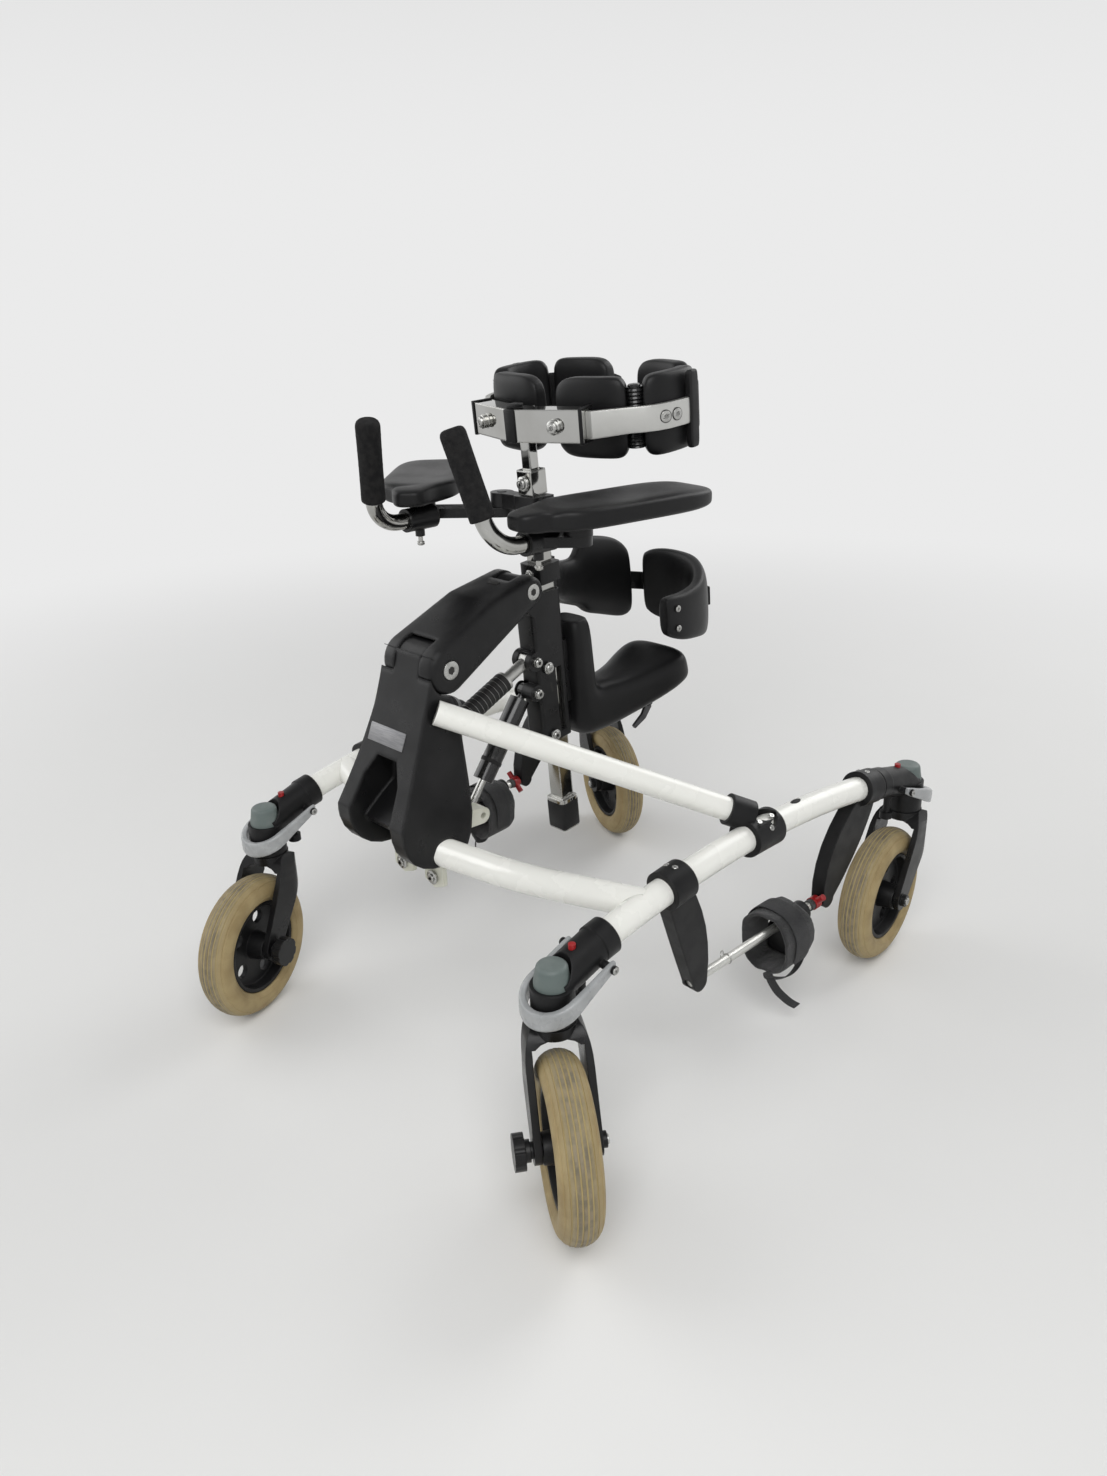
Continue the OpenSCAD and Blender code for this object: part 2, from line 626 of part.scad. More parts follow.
// Ankle guides
horn_hub_wall = 8;
horn_hub_r = rail_r + horn_hub_wall;
horn_tip_r = 12;
guide_z = rail_z - guide_drop;
horn_rear_at = base_len - horn_rear_y;
horn_rear_sweep = -1.9 * horn_sweep;
module horn(hub_y, sweep) {
    tip = [hub_y + sweep, guide_z];
    hub = [hub_y, rail_z + rail_up(hub_y)];
    outer = sweep > 0 ? 1 : -1;
    x_plate(horn_t / 2) polygon(concat(
        [hub + [-outer * horn_hub_r * 0.7, 0]],
        bend(hub + [-outer * horn_hub_r * 0.7, -horn_hub_r * 0.6], hub
            + [outer * horn_hub_r * 0.1, -guide_drop * 0.55],
            tip + [-outer * horn_tip_r, 0], 6),
        [for (a = [20:20:160]) tip + horn_tip_r * [-outer * cos(a), -sin(a)]],
        bend(tip + [outer * horn_tip_r, 0], tip + [outer * horn_tip_r * 1.7, guide_drop * 0.6],
            hub + [outer * horn_hub_r * 0.7, 0], 6)));
}

module horn_with_clamp(hub_y, sweep) difference() {
    union() {
        horn(hub_y, sweep);
        on_rail(hub_y) cylinder(h = horn_hub_r * 1.4, r = rail_r + clamp_wall, center = true);
    }
    rail_arch(rail_r + seat, rail_mid, rail_chord / 2);
    translate([0, hub_y + sweep, guide_z]) rotate([90, 0, 0])
        cylinder(h = 6 * horn_hub_r, r = guide_d / 2 + seat, center = true);
}

module rail_fittings() color([0.04, 0.04, 0.04]) footprint() for (i = [0, 1]) sided(i) {
    strut_clamp();
    rail_frame() horn_with_clamp(horn_front_y, horn_sweep);
    rail_frame() horn_with_clamp(horn_rear_at, horn_rear_sweep);
}

guide_from = horn_front_y + horn_sweep - horn_tip_r * 0.7;
guide_to = horn_rear_at + horn_rear_sweep + horn_tip_r * 0.7;
module guide_rods() color("silver") footprint() for (i = [0, 1]) sided(i) rail_frame()
    translate([0, guide_from, guide_z]) rotate([-90, 0, 0])
        cylinder(h = guide_to - guide_from, d = guide_d);

stop_l = 12;
stop_r = 9;
stop_knob_r = 4.5;
stop_knob_h = 8;
stop_turn = 45;
stop_from_horn = 20;
stop_at = horn_rear_at + horn_rear_sweep - stop_from_horn;
module rod_knobs() color("firebrick") footprint() for (i = [0, 1]) sided(i) rail_frame()
    translate([0, stop_at, guide_z]) difference() {
        union() {
            rotate([90, 0, 0]) cylinder(h = stop_l, r = stop_r, center = true);
            for (a = [0, 180]) rotate([0, stop_turn + a, 0]) translate([0, 0, (stop_r + guide_d / 2) / 2])
                cylinder(h = stop_r / 2 + stop_knob_h, r = stop_knob_r);
        }
        rotate([90, 0, 0]) cylinder(h = 2 * stop_l, r = guide_d / 2 + seat, center = true);
    }

cuff_in = 24;
cuff_low = 82;
cuff_sleeve_wall = 9;
cuff_open = 100;
module ankle_cuff(i) color([0.05, 0.05, 0.05]) footprint() sided(i) rail_frame() difference() {
    union() {
        translate([-cuff_in, cuff_y, guide_z - cuff_low]) difference() {
            cylinder(h = cuff_h, d = cuff_d);
            translate([0, 0, -over]) cylinder(h = cuff_h + 2 * over, r = cuff_d / 2 - cuff_t);
            rotate([0, 0, 180 - cuff_open / 2]) rotate_extrude(angle = cuff_open) translate([0, -over])
                square([cuff_d, cuff_h + 2 * over]);
        }
        translate([0, cuff_y, guide_z]) rotate([90, 0, 0])
            cylinder(h = cuff_d * 0.6, r = guide_d / 2 + cuff_sleeve_wall, center = true);
        translate([guide_d / 2, cuff_y, guide_z - cuff_low / 4])
            cube([cuff_t, cuff_d * 0.5, cuff_low / 2], center = true);
    }
    translate([0, cuff_y, guide_z]) rotate([90, 0, 0])
        cylinder(h = 2 * cuff_d, r = guide_d / 2 + gap, center = true);
}

// Tower
function tower_pt(s) = [arm_pivot_y + s.x * tower_d, rail_z + s.y * tower_h];
tower_front_shares = [[-0.24, 1.08], [-0.40, 0.79], [-1.02, 0.337]];
tower_toe_shares = [[-1.02, 0.337], [-1.04, 0.14], [-0.60, 0.09]];
tower_heel_shares = [[-0.60, 0.09], [-0.10, 0.04], [0, 0.20]];
tower_back_shares = [[0, 0.20], [0.10, 0.516], [0.04, 0.813]];
tower_face_shares = [[0.96, 0.02], [1, 0.30], [0.82, 0.58], [0.72, 0.80], [0.71, 1.3]];
recess_shares = [[0.60, -0.2], [0.62, 0.30], [0.50, 0.50], [0.28, 0.60]];
dish_shares = [[-0.80, 0.27], [-0.74, 0.23], [-0.36, 0.29], [-0.36, 0.42], [-0.55, 0.36]];

module tower_side_outline() {
    polygon(concat(
        bend(tower_pt(tower_front_shares[0]), tower_pt(tower_front_shares[1]),
            tower_pt(tower_front_shares[2]), 8),
        bend(tower_pt(tower_toe_shares[0]), tower_pt(tower_toe_shares[1]),
            tower_pt(tower_toe_shares[2]), 5),
        bend(tower_pt(tower_heel_shares[0]), tower_pt(tower_heel_shares[1]),
            tower_pt(tower_heel_shares[2]), 5),
        bend(tower_pt(tower_back_shares[0]), tower_pt(tower_back_shares[1]),
            tower_pt(tower_back_shares[2]), 5)));
    translate([arm_pivot_y, arm_pivot.z]) circle(r = arm_root_r - knuckle_play);
}

module face_outline(shares) polygon(concat(
    [for (s = shares) [s.x * tower_w / 2, rail_z + s.y * tower_h]],
    [for (k = [len(shares) - 1:-1:0]) [-shares[k].x * tower_w / 2, rail_z + shares[k].y * tower_h]]));

recess_wall = 6;
tang_half = 18;
tang_x = 30;
tang_t = 6;
tang_drop = 26;
tang_top = 15;
lug_root = 14;
knuckle_neck = 40;
// Side view of the bracket's knuckle with its neck
module knuckle_side(more) polygon(taper([arm_pivot_y, arm_pivot.z], knuckle_steel_r + more,
    [column_front + lug_root, arm_pivot.z - knuckle_neck], lug_root + more));
module tower_cover() color([0.05, 0.05, 0.05]) footprint() difference() {
    union() {
        difference() {
            intersection() {
                x_plate(tower_w) tower_side_outline();
                translate([0, arm_pivot_y, 0]) rotate([90, 0, 0]) linear_extrude(4 * tower_d, center = true)
                    face_outline(tower_face_shares);
            }
            translate([0, column_front - recess_wall, 0]) rotate([90, 0, 0]) linear_extrude(2 * tower_d)
                face_outline(recess_shares);
        }
        intersection() {
            x_plate(tower_w * 0.32) polygon([for (s = dish_shares) tower_pt(s)]);
            x_plate(tower_w) tower_side_outline();
        }
    }
    for (s = [-1, 1]) x_cylinder(arm_pivot + [s * (knuckle_half + tower_w / 2), 0, 0], tower_w / 2,
        arm_root_r + over);
    translate([-column_half - gap, column_front - gap, rail_z - tower_h])
        cube([2 * (column_half + gap), 2 * tower_d, 2 * tower_h - knuckle_neck]);
    x_plate(column_half + gap) knuckle_side(gap);
    translate([-tang_x - tang_half - gap, column_front - tang_t - gap, rail_z - 2 * tang_drop])
        cube([2 * (tang_x + tang_half + gap), 2 * (tang_t + gap), 2 * tang_drop + tang_top + gap]);
    x_cylinder(arm_pivot, tower_w, arm_pin_r + seat);
    for (i = [0, 1]) sided(i) {
        rod(strut_start - strut_dir * gap, strut_end, strut_d / 2 + gap);
        bent_rod(front_tube_start - unit(front_tube_knee - front_tube_start) * gap, front_tube_knee,
            front_tube_end,
            front_tube_d / 2 + gap, knee_r);
    }
}

module tower_bracket() color([0.93, 0.93, 0.9]) footprint() difference() {
    union() {
        translate([-column_half, column_front, rail_z - tang_t])
            cube([2 * column_half, column_back - column_front, tower_h + tang_t - knuckle_neck]);
        x_plate(column_half) knuckle_side(0);
        x_plate(column_half) polygon(taper([link_pivot.y, link_pivot.z], link_eye_r + lug_wall,
            [column_front + lug_root, link_pivot.z], lug_root));
        x_plate(column_half) polygon(taper([gas_pivot.y, gas_pivot.z], gas_eye_r + lug_wall,
            [column_front + lug_root, gas_pivot.z + gas_eye_r], lug_root));
        for (s = [-1, 1]) translate([s * tang_x, column_front - tang_t / 2, 0]) rotate([90, 0, 0])
            linear_extrude(tang_t, center = true) polygon([[-tang_half, rail_z + tang_top],
                [-tang_half, rail_z - tang_drop * 0.7], [0, rail_z - tang_drop],
                [tang_half, rail_z - tang_drop * 0.7], [tang_half, rail_z + tang_top]]);
        translate([0, column_front, rail_z + tang_top / 2])
            cube([2 * tang_x, 2 * tang_t, tang_top], center = true);
    }
    x_cylinder(arm_pivot, tower_w, arm_pin_r + seat);
    x_cylinder(link_pivot, tower_w, link_pin_r + seat);
    x_cylinder(gas_pivot, tower_w, link_pin_r + seat);
    x_cylinder(link_pivot, link_eye_half + gap, link_eye_r + lug_wall + over);
    x_cylinder(gas_pivot, gas_eye_half + gap, gas_eye_r + lug_wall + over);
    translate([-link_eye_half - gap, link_pivot.y, link_pivot.z])
        cube([2 * (link_eye_half + gap), 2 * link_eye_r, 2 * link_eye_r]);
    for (s = [-1, 1]) translate([s * tang_x, column_front, rail_z - tang_drop * 0.4]) rotate([90, 0, 0])
        cylinder(h = 6 * tang_t, r = link_pin_r + seat, center = true);
}

module frame_screws() color("silver") footprint() {
    x_cylinder(arm_pivot, arm_w / 2 - head_t, arm_pin_r);
    for (s = [-1, 1]) x_cylinder(arm_pivot + [s * (arm_w / 2 - head_t / 2), 0, 0], head_t / 2, arm_head_r);
    x_cylinder(link_pivot, column_half, link_pin_r);
    x_cylinder(gas_pivot, column_half, link_pin_r);
    for (s = [-1, 1]) translate([s * tang_x, column_front - tang_t, rail_z - tang_drop * 0.4])
        rotate([90, 0, 0]) {
        cylinder(h = head_t, r = 2 * link_pin_r);
        translate([0, 0, -tang_t]) cylinder(h = tang_t + over, r = link_pin_r);
    }
}

// Suspension
drum_edge = 7;
module drum(p, half, r) translate(p) rotate([0, 90, 0]) rotate_extrude($fn = 32) polygon(concat(
    [[0, -half]], [for (a = [-90:30:0])
        [r - drum_edge + drum_edge * cos(a), -half + drum_edge + drum_edge * sin(a)]],
    [for (a = [0:30:90]) [r - drum_edge + drum_edge * cos(a), half - drum_edge + drum_edge * sin(a)]],
        [[0, half]]));

module upper_arm() color([0.06, 0.06, 0.06]) footprint() difference() {
    hull() {
        drum(arm_pivot, arm_w / 2, arm_root_r);
        drum(arm_pivot + [0, arm_reach * 0.56, arm_rise * 0.66], (arm_w + arm_tip_w) / 4, arm_root_r
            * 0.86);
        drum(mast_pivot, arm_tip_w / 2, arm_tip_r);
    }
    x_cylinder(arm_pivot, knuckle_half + gap, arm_root_r + over);
    x_cylinder(arm_pivot, arm_w, arm_pin_r + run);
    x_cylinder(mast_pivot, arm_w, mast_pin_r + run);
    for (s = [-1, 1]) {
        x_cylinder(arm_pivot + [s * arm_w / 2, 0, 0], head_t + gap, arm_head_r + gap);
        x_cylinder(mast_pivot + [s * arm_tip_w / 2, 0, 0], head_t + gap, mast_head_r + gap);
    }
    x_cylinder(mast_pivot, mast_lug_half + gap, arm_tip_r + drum_edge);
    translate(arm_pivot + [-knuckle_half - gap, -2 * arm_root_r, -2 * arm_root_r])
        cube([2 * (knuckle_half + gap), 2 * arm_root_r, 4 * arm_root_r]);
}

module lower_link() color([0.6, 0.6, 0.62]) footprint() {
    d = unit(link_mast_pivot - link_pivot);
    l = norm(link_mast_pivot - link_pivot);
    difference() {
        union() {
            rod(link_pivot, link_mast_pivot, link_rod_r);
            rod(link_pivot + d * l * 0.14, link_pivot + d * l * 0.72, link_sleeve_d / 2);
            x_cylinder(link_pivot, link_eye_half, link_eye_r);
            x_cylinder(link_mast_pivot, link_eye_half, link_eye_r);
        }
        x_cylinder(link_pivot, arm_w, link_pin_r + run);
        x_cylinder(link_mast_pivot, arm_w, link_pin_r + run);
        for (s = [-1, 1], p = [link_pivot, link_mast_pivot])
            x_cylinder(p + [s * 2 * link_eye_half, 0, 0], link_eye_half, link_eye_r + lug_wall + over);
    }
}

gas_axis = unit(gas_mast_pivot - gas_pivot);
gas_len = norm(gas_mast_pivot - gas_pivot);
gas_foot = 42;
gas_head = 14;
gas_end_wall = 6;
module gas_rod() color("silver") footprint() difference() {
    union() {
        rod(gas_pivot, gas_pivot + gas_axis * gas_len * 0.68, gas_rod_d / 2);
        x_cylinder(gas_pivot, gas_eye_half, gas_eye_r);
    }
    x_cylinder(gas_pivot, arm_w, link_pin_r + run);
}

module gas_cylinder() color([0.04, 0.04, 0.04]) footprint() difference() {
    union() {
        rod(gas_pivot + gas_axis * gas_foot, gas_mast_pivot - gas_axis * gas_head, gas_d / 2);
        rod(gas_mast_pivot - gas_axis * (gas_head + over), gas_mast_pivot - gas_axis * gas_eye_r * 0.9,
            gas_eye_half);
        x_cylinder(gas_mast_pivot, gas_eye_half, gas_eye_r);
    }
    rod(gas_pivot, gas_mast_pivot - gas_axis * (gas_head + gas_end_wall), gas_rod_d / 2 + gap);
    x_cylinder(gas_mast_pivot, arm_w, link_pin_r + gas_eye_play);
}

lug_b = leaned(mast_pivot);
lug_link = leaned(link_mast_pivot);
lug_gas = leaned(gas_mast_pivot);
lug_root_r = 17;
slot_w = 11;
slot_from = 10;
slot_l = 92;
clamp_bolts_shares = [[-0.55, 0.52], [-0.5, 0.05]];
module eye_pocket(x, lug, half, r) hull() {
    x_cylinder([x, lug.x, lug.y], half, r);
    x_cylinder([x, lug.x - 2 * link_eye_r, lug.y - link_eye_r], half, r);
}

module mast() color([0.05, 0.05, 0.05]) footprint() leaning() difference() {
    union() {
        translate([0, (mast_back - mast_front) / 2, mast_z]) linear_extrude(mast_h)
            polygon(round_rect(mast_w, mast_front + mast_back, mast_edge));
        x_plate(mast_lug_half) polygon(taper(lug_b, arm_tip_r - lug_wall,
            [lug_root_r - mast_front, mast_z + mast_h - lug_root_r], lug_root_r));
        x_cylinder([0, lug_link.x, lug_link.y], mast_lug_half, link_eye_r + lug_wall);
        x_cylinder([0, lug_gas.x, lug_gas.y], mast_lug_half, link_eye_r);
    }
    square_bar(bore_w, 0, 2 * (mast_z + mast_h));
    x_cylinder([0, lug_b.x, lug_b.y], mast_w, mast_pin_r + seat);
    x_cylinder([0, lug_link.x, lug_link.y], mast_w, link_pin_r + seat);
    x_cylinder([0, lug_gas.x, lug_gas.y], mast_w, link_pin_r + seat);
    eye_pocket(0, lug_link, link_eye_half + gap, link_eye_r + lug_wall);
    eye_pocket(gas_x, lug_gas, gas_eye_half + gap, gas_eye_r + gas_eye_play + over);
    translate([0, -slot_w / 2, mast_z + slot_from]) cube([mast_w, slot_w, slot_l]);
}

module mast_bolts() color("silver") footprint() leaning() {
    x_cylinder([0, lug_b.x, lug_b.y], arm_tip_w / 2 - head_t, mast_pin_r);
    for (s = [-1, 1]) x_cylinder([s * (arm_tip_w / 2 - head_t / 2), lug_b.x, lug_b.y], head_t / 2,
        mast_head_r);
    for (lug = [lug_link, lug_gas]) {
        x_cylinder([head_t / 2, lug.x, lug.y], mast_w / 2 + head_t / 2, link_pin_r);
        x_cylinder([mast_w / 2 + seat + head_t / 2, lug.x, lug.y], head_t / 2, link_pin_r * 1.6);
    }
    for (b = clamp_bolts_shares) x_cylinder([mast_w / 2 + seat + head_t / 2, b.x * mast_front, mast_z
        + b.y * mast_h],
        head_t / 2, link_pin_r * 1.5);
}

// Post
module square_bar(w, z0, z1) translate([0, 0, z0]) linear_extrude(z1 - z0) square(w, center = true);
chest_post_reach = 95;
module seat_post() color([0.8, 0.8, 0.82]) footprint() leaning() difference() {
    union() {
        square_bar(post_w, -post_below * 0.8, post_top + over);
        translate([0, 0, -post_below]) linear_extrude(post_below)
            polygon(round_rect(cap_w, cap_w, mast_edge));
        translate([0, 0, post_top]) linear_extrude(block_h)
            polygon(round_rect(block_w, block_w, mast_edge / 3));
        translate([0, -block_w / 2, post_top + block_h / 2]) rotate([90, 0, 0])
            cylinder(h = head_t, r = 1.8 * link_pin_r);
    }
    square_bar(chest_post_w + 2 * gap, post_top - chest_post_reach * 1.5, post_top + 2 * block_h);
}

// Saddle and its bracket
saddle_gap = 7;
saddle_front = mast_back + saddle_gap;
saddle_below = 20;
saddle_foot_z = mast_z - saddle_below;
saddle_half_t = saddle_h * 0.11;
// Rear and height shares of the saddle's middle line, its half thickness and its half width
saddle_shares = [
    [0, 0.995, 0.03, 0.0], [0, 0.975, 0.075, 0.0], [0, 0.92, 0.105, 0.0], [0, 0.62, 0.11, 0.0],
    [0.012, 0.42, 0.12, 0.0], [0.055, 0.235, 0.23, 0.02], [0.28, 0.18, 0.165, 0.12],
        [0.52, 0.18, 0.135, 0.42],
    [0.74, 0.20, 0.12, 0.82], [0.89, 0.23, 0.105, 1.0], [0.97, 0.25, 0.075, 0.86], [1, 0.26, 0.02, 0.5]];
function saddle_mid(s) = [0, saddle_front + saddle_half_t + s[0] * (saddle_l - saddle_half_t),
    saddle_foot_z + s[1] * saddle_h];
function saddle_dir(k) = unit(saddle_mid(saddle_shares[min(k + 1, len(saddle_shares) - 1)])
    - saddle_mid(saddle_shares[max(k - 1, 0)]));
function saddle_half(k) = let (s = saddle_shares[k], top = k == 0 ? 0.55 : k == 1 ? 0.88 : 1)
    top * (saddle_front_w * (1 - s[3]) + saddle_rear_w * s[3]) / 2;
lever_t = 4;
lever_l = 36;
lever_r = 6;
lever_in = 18;
lever_at = [lever_in, saddle_front + saddle_l * 0.71, saddle_foot_z + saddle_h * 0.045];
lug_up = 16;
module saddle() color([0.05, 0.05, 0.05]) footprint() leaning() difference() {
    union() {
        loft([for (k = [0:len(saddle_shares) - 1]) let (s = saddle_shares[k])
            soft_ring(saddle_mid(s), [saddle_half(k), 0, 0], cross(saddle_dir(k), [1, 0, 0]) * s[2]
                * saddle_h, 3, 20)]);
        x_cylinder(lever_at, lever_t * 1.5, lever_r);
        translate(lever_at + [0, 0, lug_up / 2]) cube([3 * lever_t, 2 * lever_r, lug_up], center = true);
    }
    x_cylinder(lever_at, lever_t * 3, link_pin_r * 0.6 + run);
    translate(lever_at + [0, 0, -lever_r])
        cube([lever_t + 2 * gap, 6 * lever_r, 4.5 * lever_r - gap], center = true);
}

module saddle_bracket() color([0.25, 0.25, 0.26]) footprint() leaning()
    translate([0, saddle_front - saddle_gap / 2, saddle_foot_z + saddle_h * 0.62])
        cube([mast_w * 0.8, saddle_gap - 2 * gap, saddle_h * 0.5], center = true);

// Points of the hooked lever as shares of its length
lever_shares = [[-0.14, 0.10], [0.14, 0.14], [0.17, -0.28], [-0.22, -0.66], [-0.86, -0.86], [-0.95, -0.72],
    [-0.40, -0.42], [-0.16, -0.12]];
module seat_lever() color([0.4, 0.4, 0.42]) footprint() leaning() translate(lever_at) {
    x_plate(lever_t / 2) polygon([for (s = lever_shares) s * lever_l]);
    x_cylinder([0, 0, 0], lever_t * 1.5, link_pin_r * 0.6);
}

// Pelvic support: an open ring from the post round the right side to the left rear
pelvic_play = 12;
// How far the mast's lug may stand above the mast before the pelvic clamp moves up with it
lug_over = 17;
pelvic_z = max(mast_z + mast_h, lug_b.y - lug_over) + pelvic_play;
pelvic_clamp_h = 24;
pelvic_clamp_wall = 8;
pelvic_drop = 24;
pelvic_fall = 0.26;
strap_h = 28;
drop_t = 10.5;
// Shares of the half width and of the length along the ring
pelvic_shares = [[-0.15, 0.085], [-0.50, 0.17], [-0.89, 0.37], [-0.96, 0.62], [-0.93, 0.81], [-0.76, 0.94],
    [-0.34, 1.00], [0.08, 0.98], [0.42, 0.895], [0.66, 0.77], [0.74, 0.62], [0.73, 0.48]];
strap_last = 8;
pelvic_end = len(pelvic_shares) - 1;
function ring_at(u) = let (k = min(floor(u), pelvic_end - 1), f = u - k)
    pelvic_shares[k] * (1 - f) + pelvic_shares[k + 1] * f;
function pelvic_pt(u, up) = let (s = ring_at(u)) [s.x * pelvic_half_w, s.y * pelvic_l,
    pelvic_z - pelvic_drop + up - pelvic_fall * s.y * pelvic_l];
function pelvic_side(u) = let (d = pelvic_pt(min(u + 0.5, pelvic_end), 0) - pelvic_pt(max(u - 0.5, 0), 0))
    unit([-d.y, d.x, 0]);
module pelvic_strap() color([0.04, 0.04, 0.04]) footprint() leaning() {
    difference() {
        union() {
            translate([0, 0, pelvic_z]) linear_extrude(pelvic_clamp_h)
                polygon(round_rect(post_w + 2 * pelvic_clamp_wall, post_w + 2 * pelvic_clamp_wall,
                    mast_edge));
            translate([-pelvic_half_w * 0.2, mast_back + gap, pelvic_z - pelvic_drop - strap_h])
                cube([pelvic_half_w * 0.2, drop_t, pelvic_clamp_h + pelvic_drop + strap_h]);
        }
        square_bar(bore_w, 0, pelvic_z + 2 * pelvic_clamp_h);
    }
    loft([for (u = [0:0.5:strap_last])
        soft_ring(pelvic_pt(u, 0), pelvic_side(u) * strap_t / 2, [0, 0, strap_h / 2], 8, 12)]);
}

// Pads inside the ring: for each section its place along the ring, and shares of the half height and rise
pelvic_pad_h = 120;
right_shares = [[0.9, 0.24, 0.11], [1.05, 0.40, 0.11], [1.5, 0.45, 0.11], [2.3, 0.56, 0.03],
    [2.75, 0.72, 0.10],
    [3.2, 1.0, 0.12], [3.9, 1.04, 0.08], [4.25, 0.94, 0.06], [4.4, 0.6, 0.05]];
rear_shares = [[5.1, 0.55, 0.08], [5.3, 0.88, 0.08], [6, 0.94, 0.08], [7, 0.92, 0.04], [8, 0.86, -0.08],
    [9, 0.68, -0.20],
    [10, 0.60, -0.38], [10.75, 0.52, -0.36], [11, 0.28, -0.36]];
pad_off = pelvic_pad_t / 2 + strap_t / 2 + gap;
module pelvic_pad(shares) loft([for (j = [0:len(shares) - 1]) let (s = shares[j], side = pelvic_side(s[0]),
    end = (j == 0 || j == len(shares) - 1) ? 0.45 : 1)
    soft_ring(pelvic_pt(s[0], s[2] * pelvic_pad_h / 2) - side * pad_off, side * end * pelvic_pad_t / 2,
        [0, 0, s[1] * pelvic_pad_h / 2], 3.2, 16)]);
module pelvic_pads() color([0.05, 0.05, 0.05]) footprint() leaning() {
    pelvic_pad(right_shares);
    pelvic_pad(rear_shares);
}

// Forearm rests
crossbar = [0, post_y - crossbar_z * tan(lean), rail_z + crossbar_z];
crossbar_h = 18;
crossbar_wall = 8;
swing_r = 15;
swing_pin_r = 6;
crossbar_end = crossbar + [crossbar_half, 0, 0];
module arm_crossbar() color([0.07, 0.07, 0.07]) footprint() difference() {
    union() {
        translate(crossbar) linear_extrude(crossbar_h * 1.15, center = true)
            polygon(round_rect(post_w + 2 * crossbar_wall, post_w + 2 * crossbar_wall, mast_edge));
        translate(crossbar) cube([2 * crossbar_half, crossbar_h * 1.2, crossbar_h], center = true);
        for (s = [-1, 1]) translate(crossbar + [s * crossbar_half, 0, 0])
            cylinder(h = crossbar_h, r = swing_r, center = true);
    }
    leaning() square_bar(bore_w, 0, 2 * crossbar_z);
    for (s = [-1, 1]) translate(crossbar + [s * crossbar_half, 0, 0])
        cylinder(h = 3 * crossbar_h, r = swing_pin_r + run, center = true);
}

// Forearm pad about its pivot, with its length along +Y
pad_over = 2;
pad_foot = crossbar.z + pad_over;
pad_pivot_x = 138;
pad_ahead = 66;
pad_pivot = [pad_pivot_x, crossbar.y - pad_ahead, pad_foot];
boss_r = 9;
boss_wall = 7;
boss_lip = 0.8;
link_t = 12;
link_top = crossbar.z - crossbar_h / 2 - gap;
// Length, half width and half thickness shares of the forearm pad's sections, and their shift inwards
forearm_shares = [[0, 0.20, 0.30, 0.10], [0.02, 0.36, 0.75, 0.10], [0.06, 0.44, 0.95, 0.08],
    [0.13, 0.52, 1, 0.04],
    [0.22, 0.80, 1, 0.04], [0.32, 0.98, 1, 0], [0.6, 1, 1, 0], [0.84, 0.97, 1, 0], [0.94, 0.80, 0.92, 0],
    [0.985, 0.55, 0.7, 0], [1, 0.28, 0.3, 0]];
module forearm_pad(i) color([0.08, 0.08, 0.08]) footprint() sided(i) translate(pad_pivot)
    rotate([0, 0, -forearm_turns[i]]) {
    loft([for (s = forearm_shares) soft_ring([s[3] * forearm_w / 2, s[0] * forearm_l - forearm_nose_l,
        forearm_t / 2],
        [s[1] * forearm_w / 2, 0, 0], [0, 0, s[2] * forearm_t / 2], 3.4, 20)]);
    translate([0, 0, link_top - link_t - pad_foot])
        cylinder(h = pad_foot - link_top + link_t + over, r = boss_r);
}

handle_drop = 15;
handle_socket_x = 106;
handle_ahead = 98;
handle_inside = 24;
socket_at = [handle_socket_x, crossbar.y - handle_ahead, crossbar.z - handle_drop];
socket_l = 44;
handle_wall = 4.5;
clamp_screw_l = 12;
module arm_carrier(i) color([0.05, 0.05, 0.05]) footprint() sided(i) difference() {
    union() {
        translate([0, 0, link_top - link_t]) linear_extrude(link_t) {
            polygon(taper([crossbar_end.x, crossbar_end.y], swing_r, [pad_pivot.x, pad_pivot.y], boss_r
                + boss_wall));
            polygon(taper([pad_pivot.x, pad_pivot.y], boss_r + boss_wall, [socket_at.x, socket_at.y],
                handle_d / 2 + handle_wall / 2));
        }
        translate([pad_pivot.x, pad_pivot.y, link_top - over])
            cylinder(h = pad_foot - link_top + over - gap, r = boss_r + boss_wall + boss_lip);
        translate(socket_at) rotate([90, 0, 0])
            cylinder(h = socket_l, r = handle_d / 2 + handle_wall, center = true);
        translate([crossbar_end.x, crossbar_end.y, link_top - over])
            cylinder(h = crossbar_h + 2 * over, r = swing_pin_r);
        translate(socket_at - [0, 0, handle_d / 2 + clamp_screw_l])
            cylinder(h = clamp_screw_l, r = swing_pin_r);
    }
    translate(socket_at + [0, handle_inside + over, 0]) rotate([90, 0, 0])
        cylinder(h = 3 * socket_l, r = handle_d / 2 + gap);
    translate([pad_pivot.x, pad_pivot.y, 0]) cylinder(h = 2 * pad_foot, r = boss_r + run);
}

// Handle and foam grip
grip_in = 33;
grip_ahead = 89;
grip_up = 129;
corner_ahead = 67;
handle_bend = 42;
handle_proud = 3;
grip_edge = 6;
grip_top = socket_at + [-grip_in, -grip_ahead, grip_up];
handle_corner = socket_at + [0, -corner_ahead, 0];
grip_line = unit(grip_top - handle_corner);
grip_foot = grip_top - grip_line * grip_l;
module handle(i) color([0.8, 0.8, 0.82]) footprint() sided(i)
    bent_rod(socket_at + [0, handle_inside, 0], handle_corner, grip_top - grip_line * handle_proud,
        handle_d / 2, handle_bend);

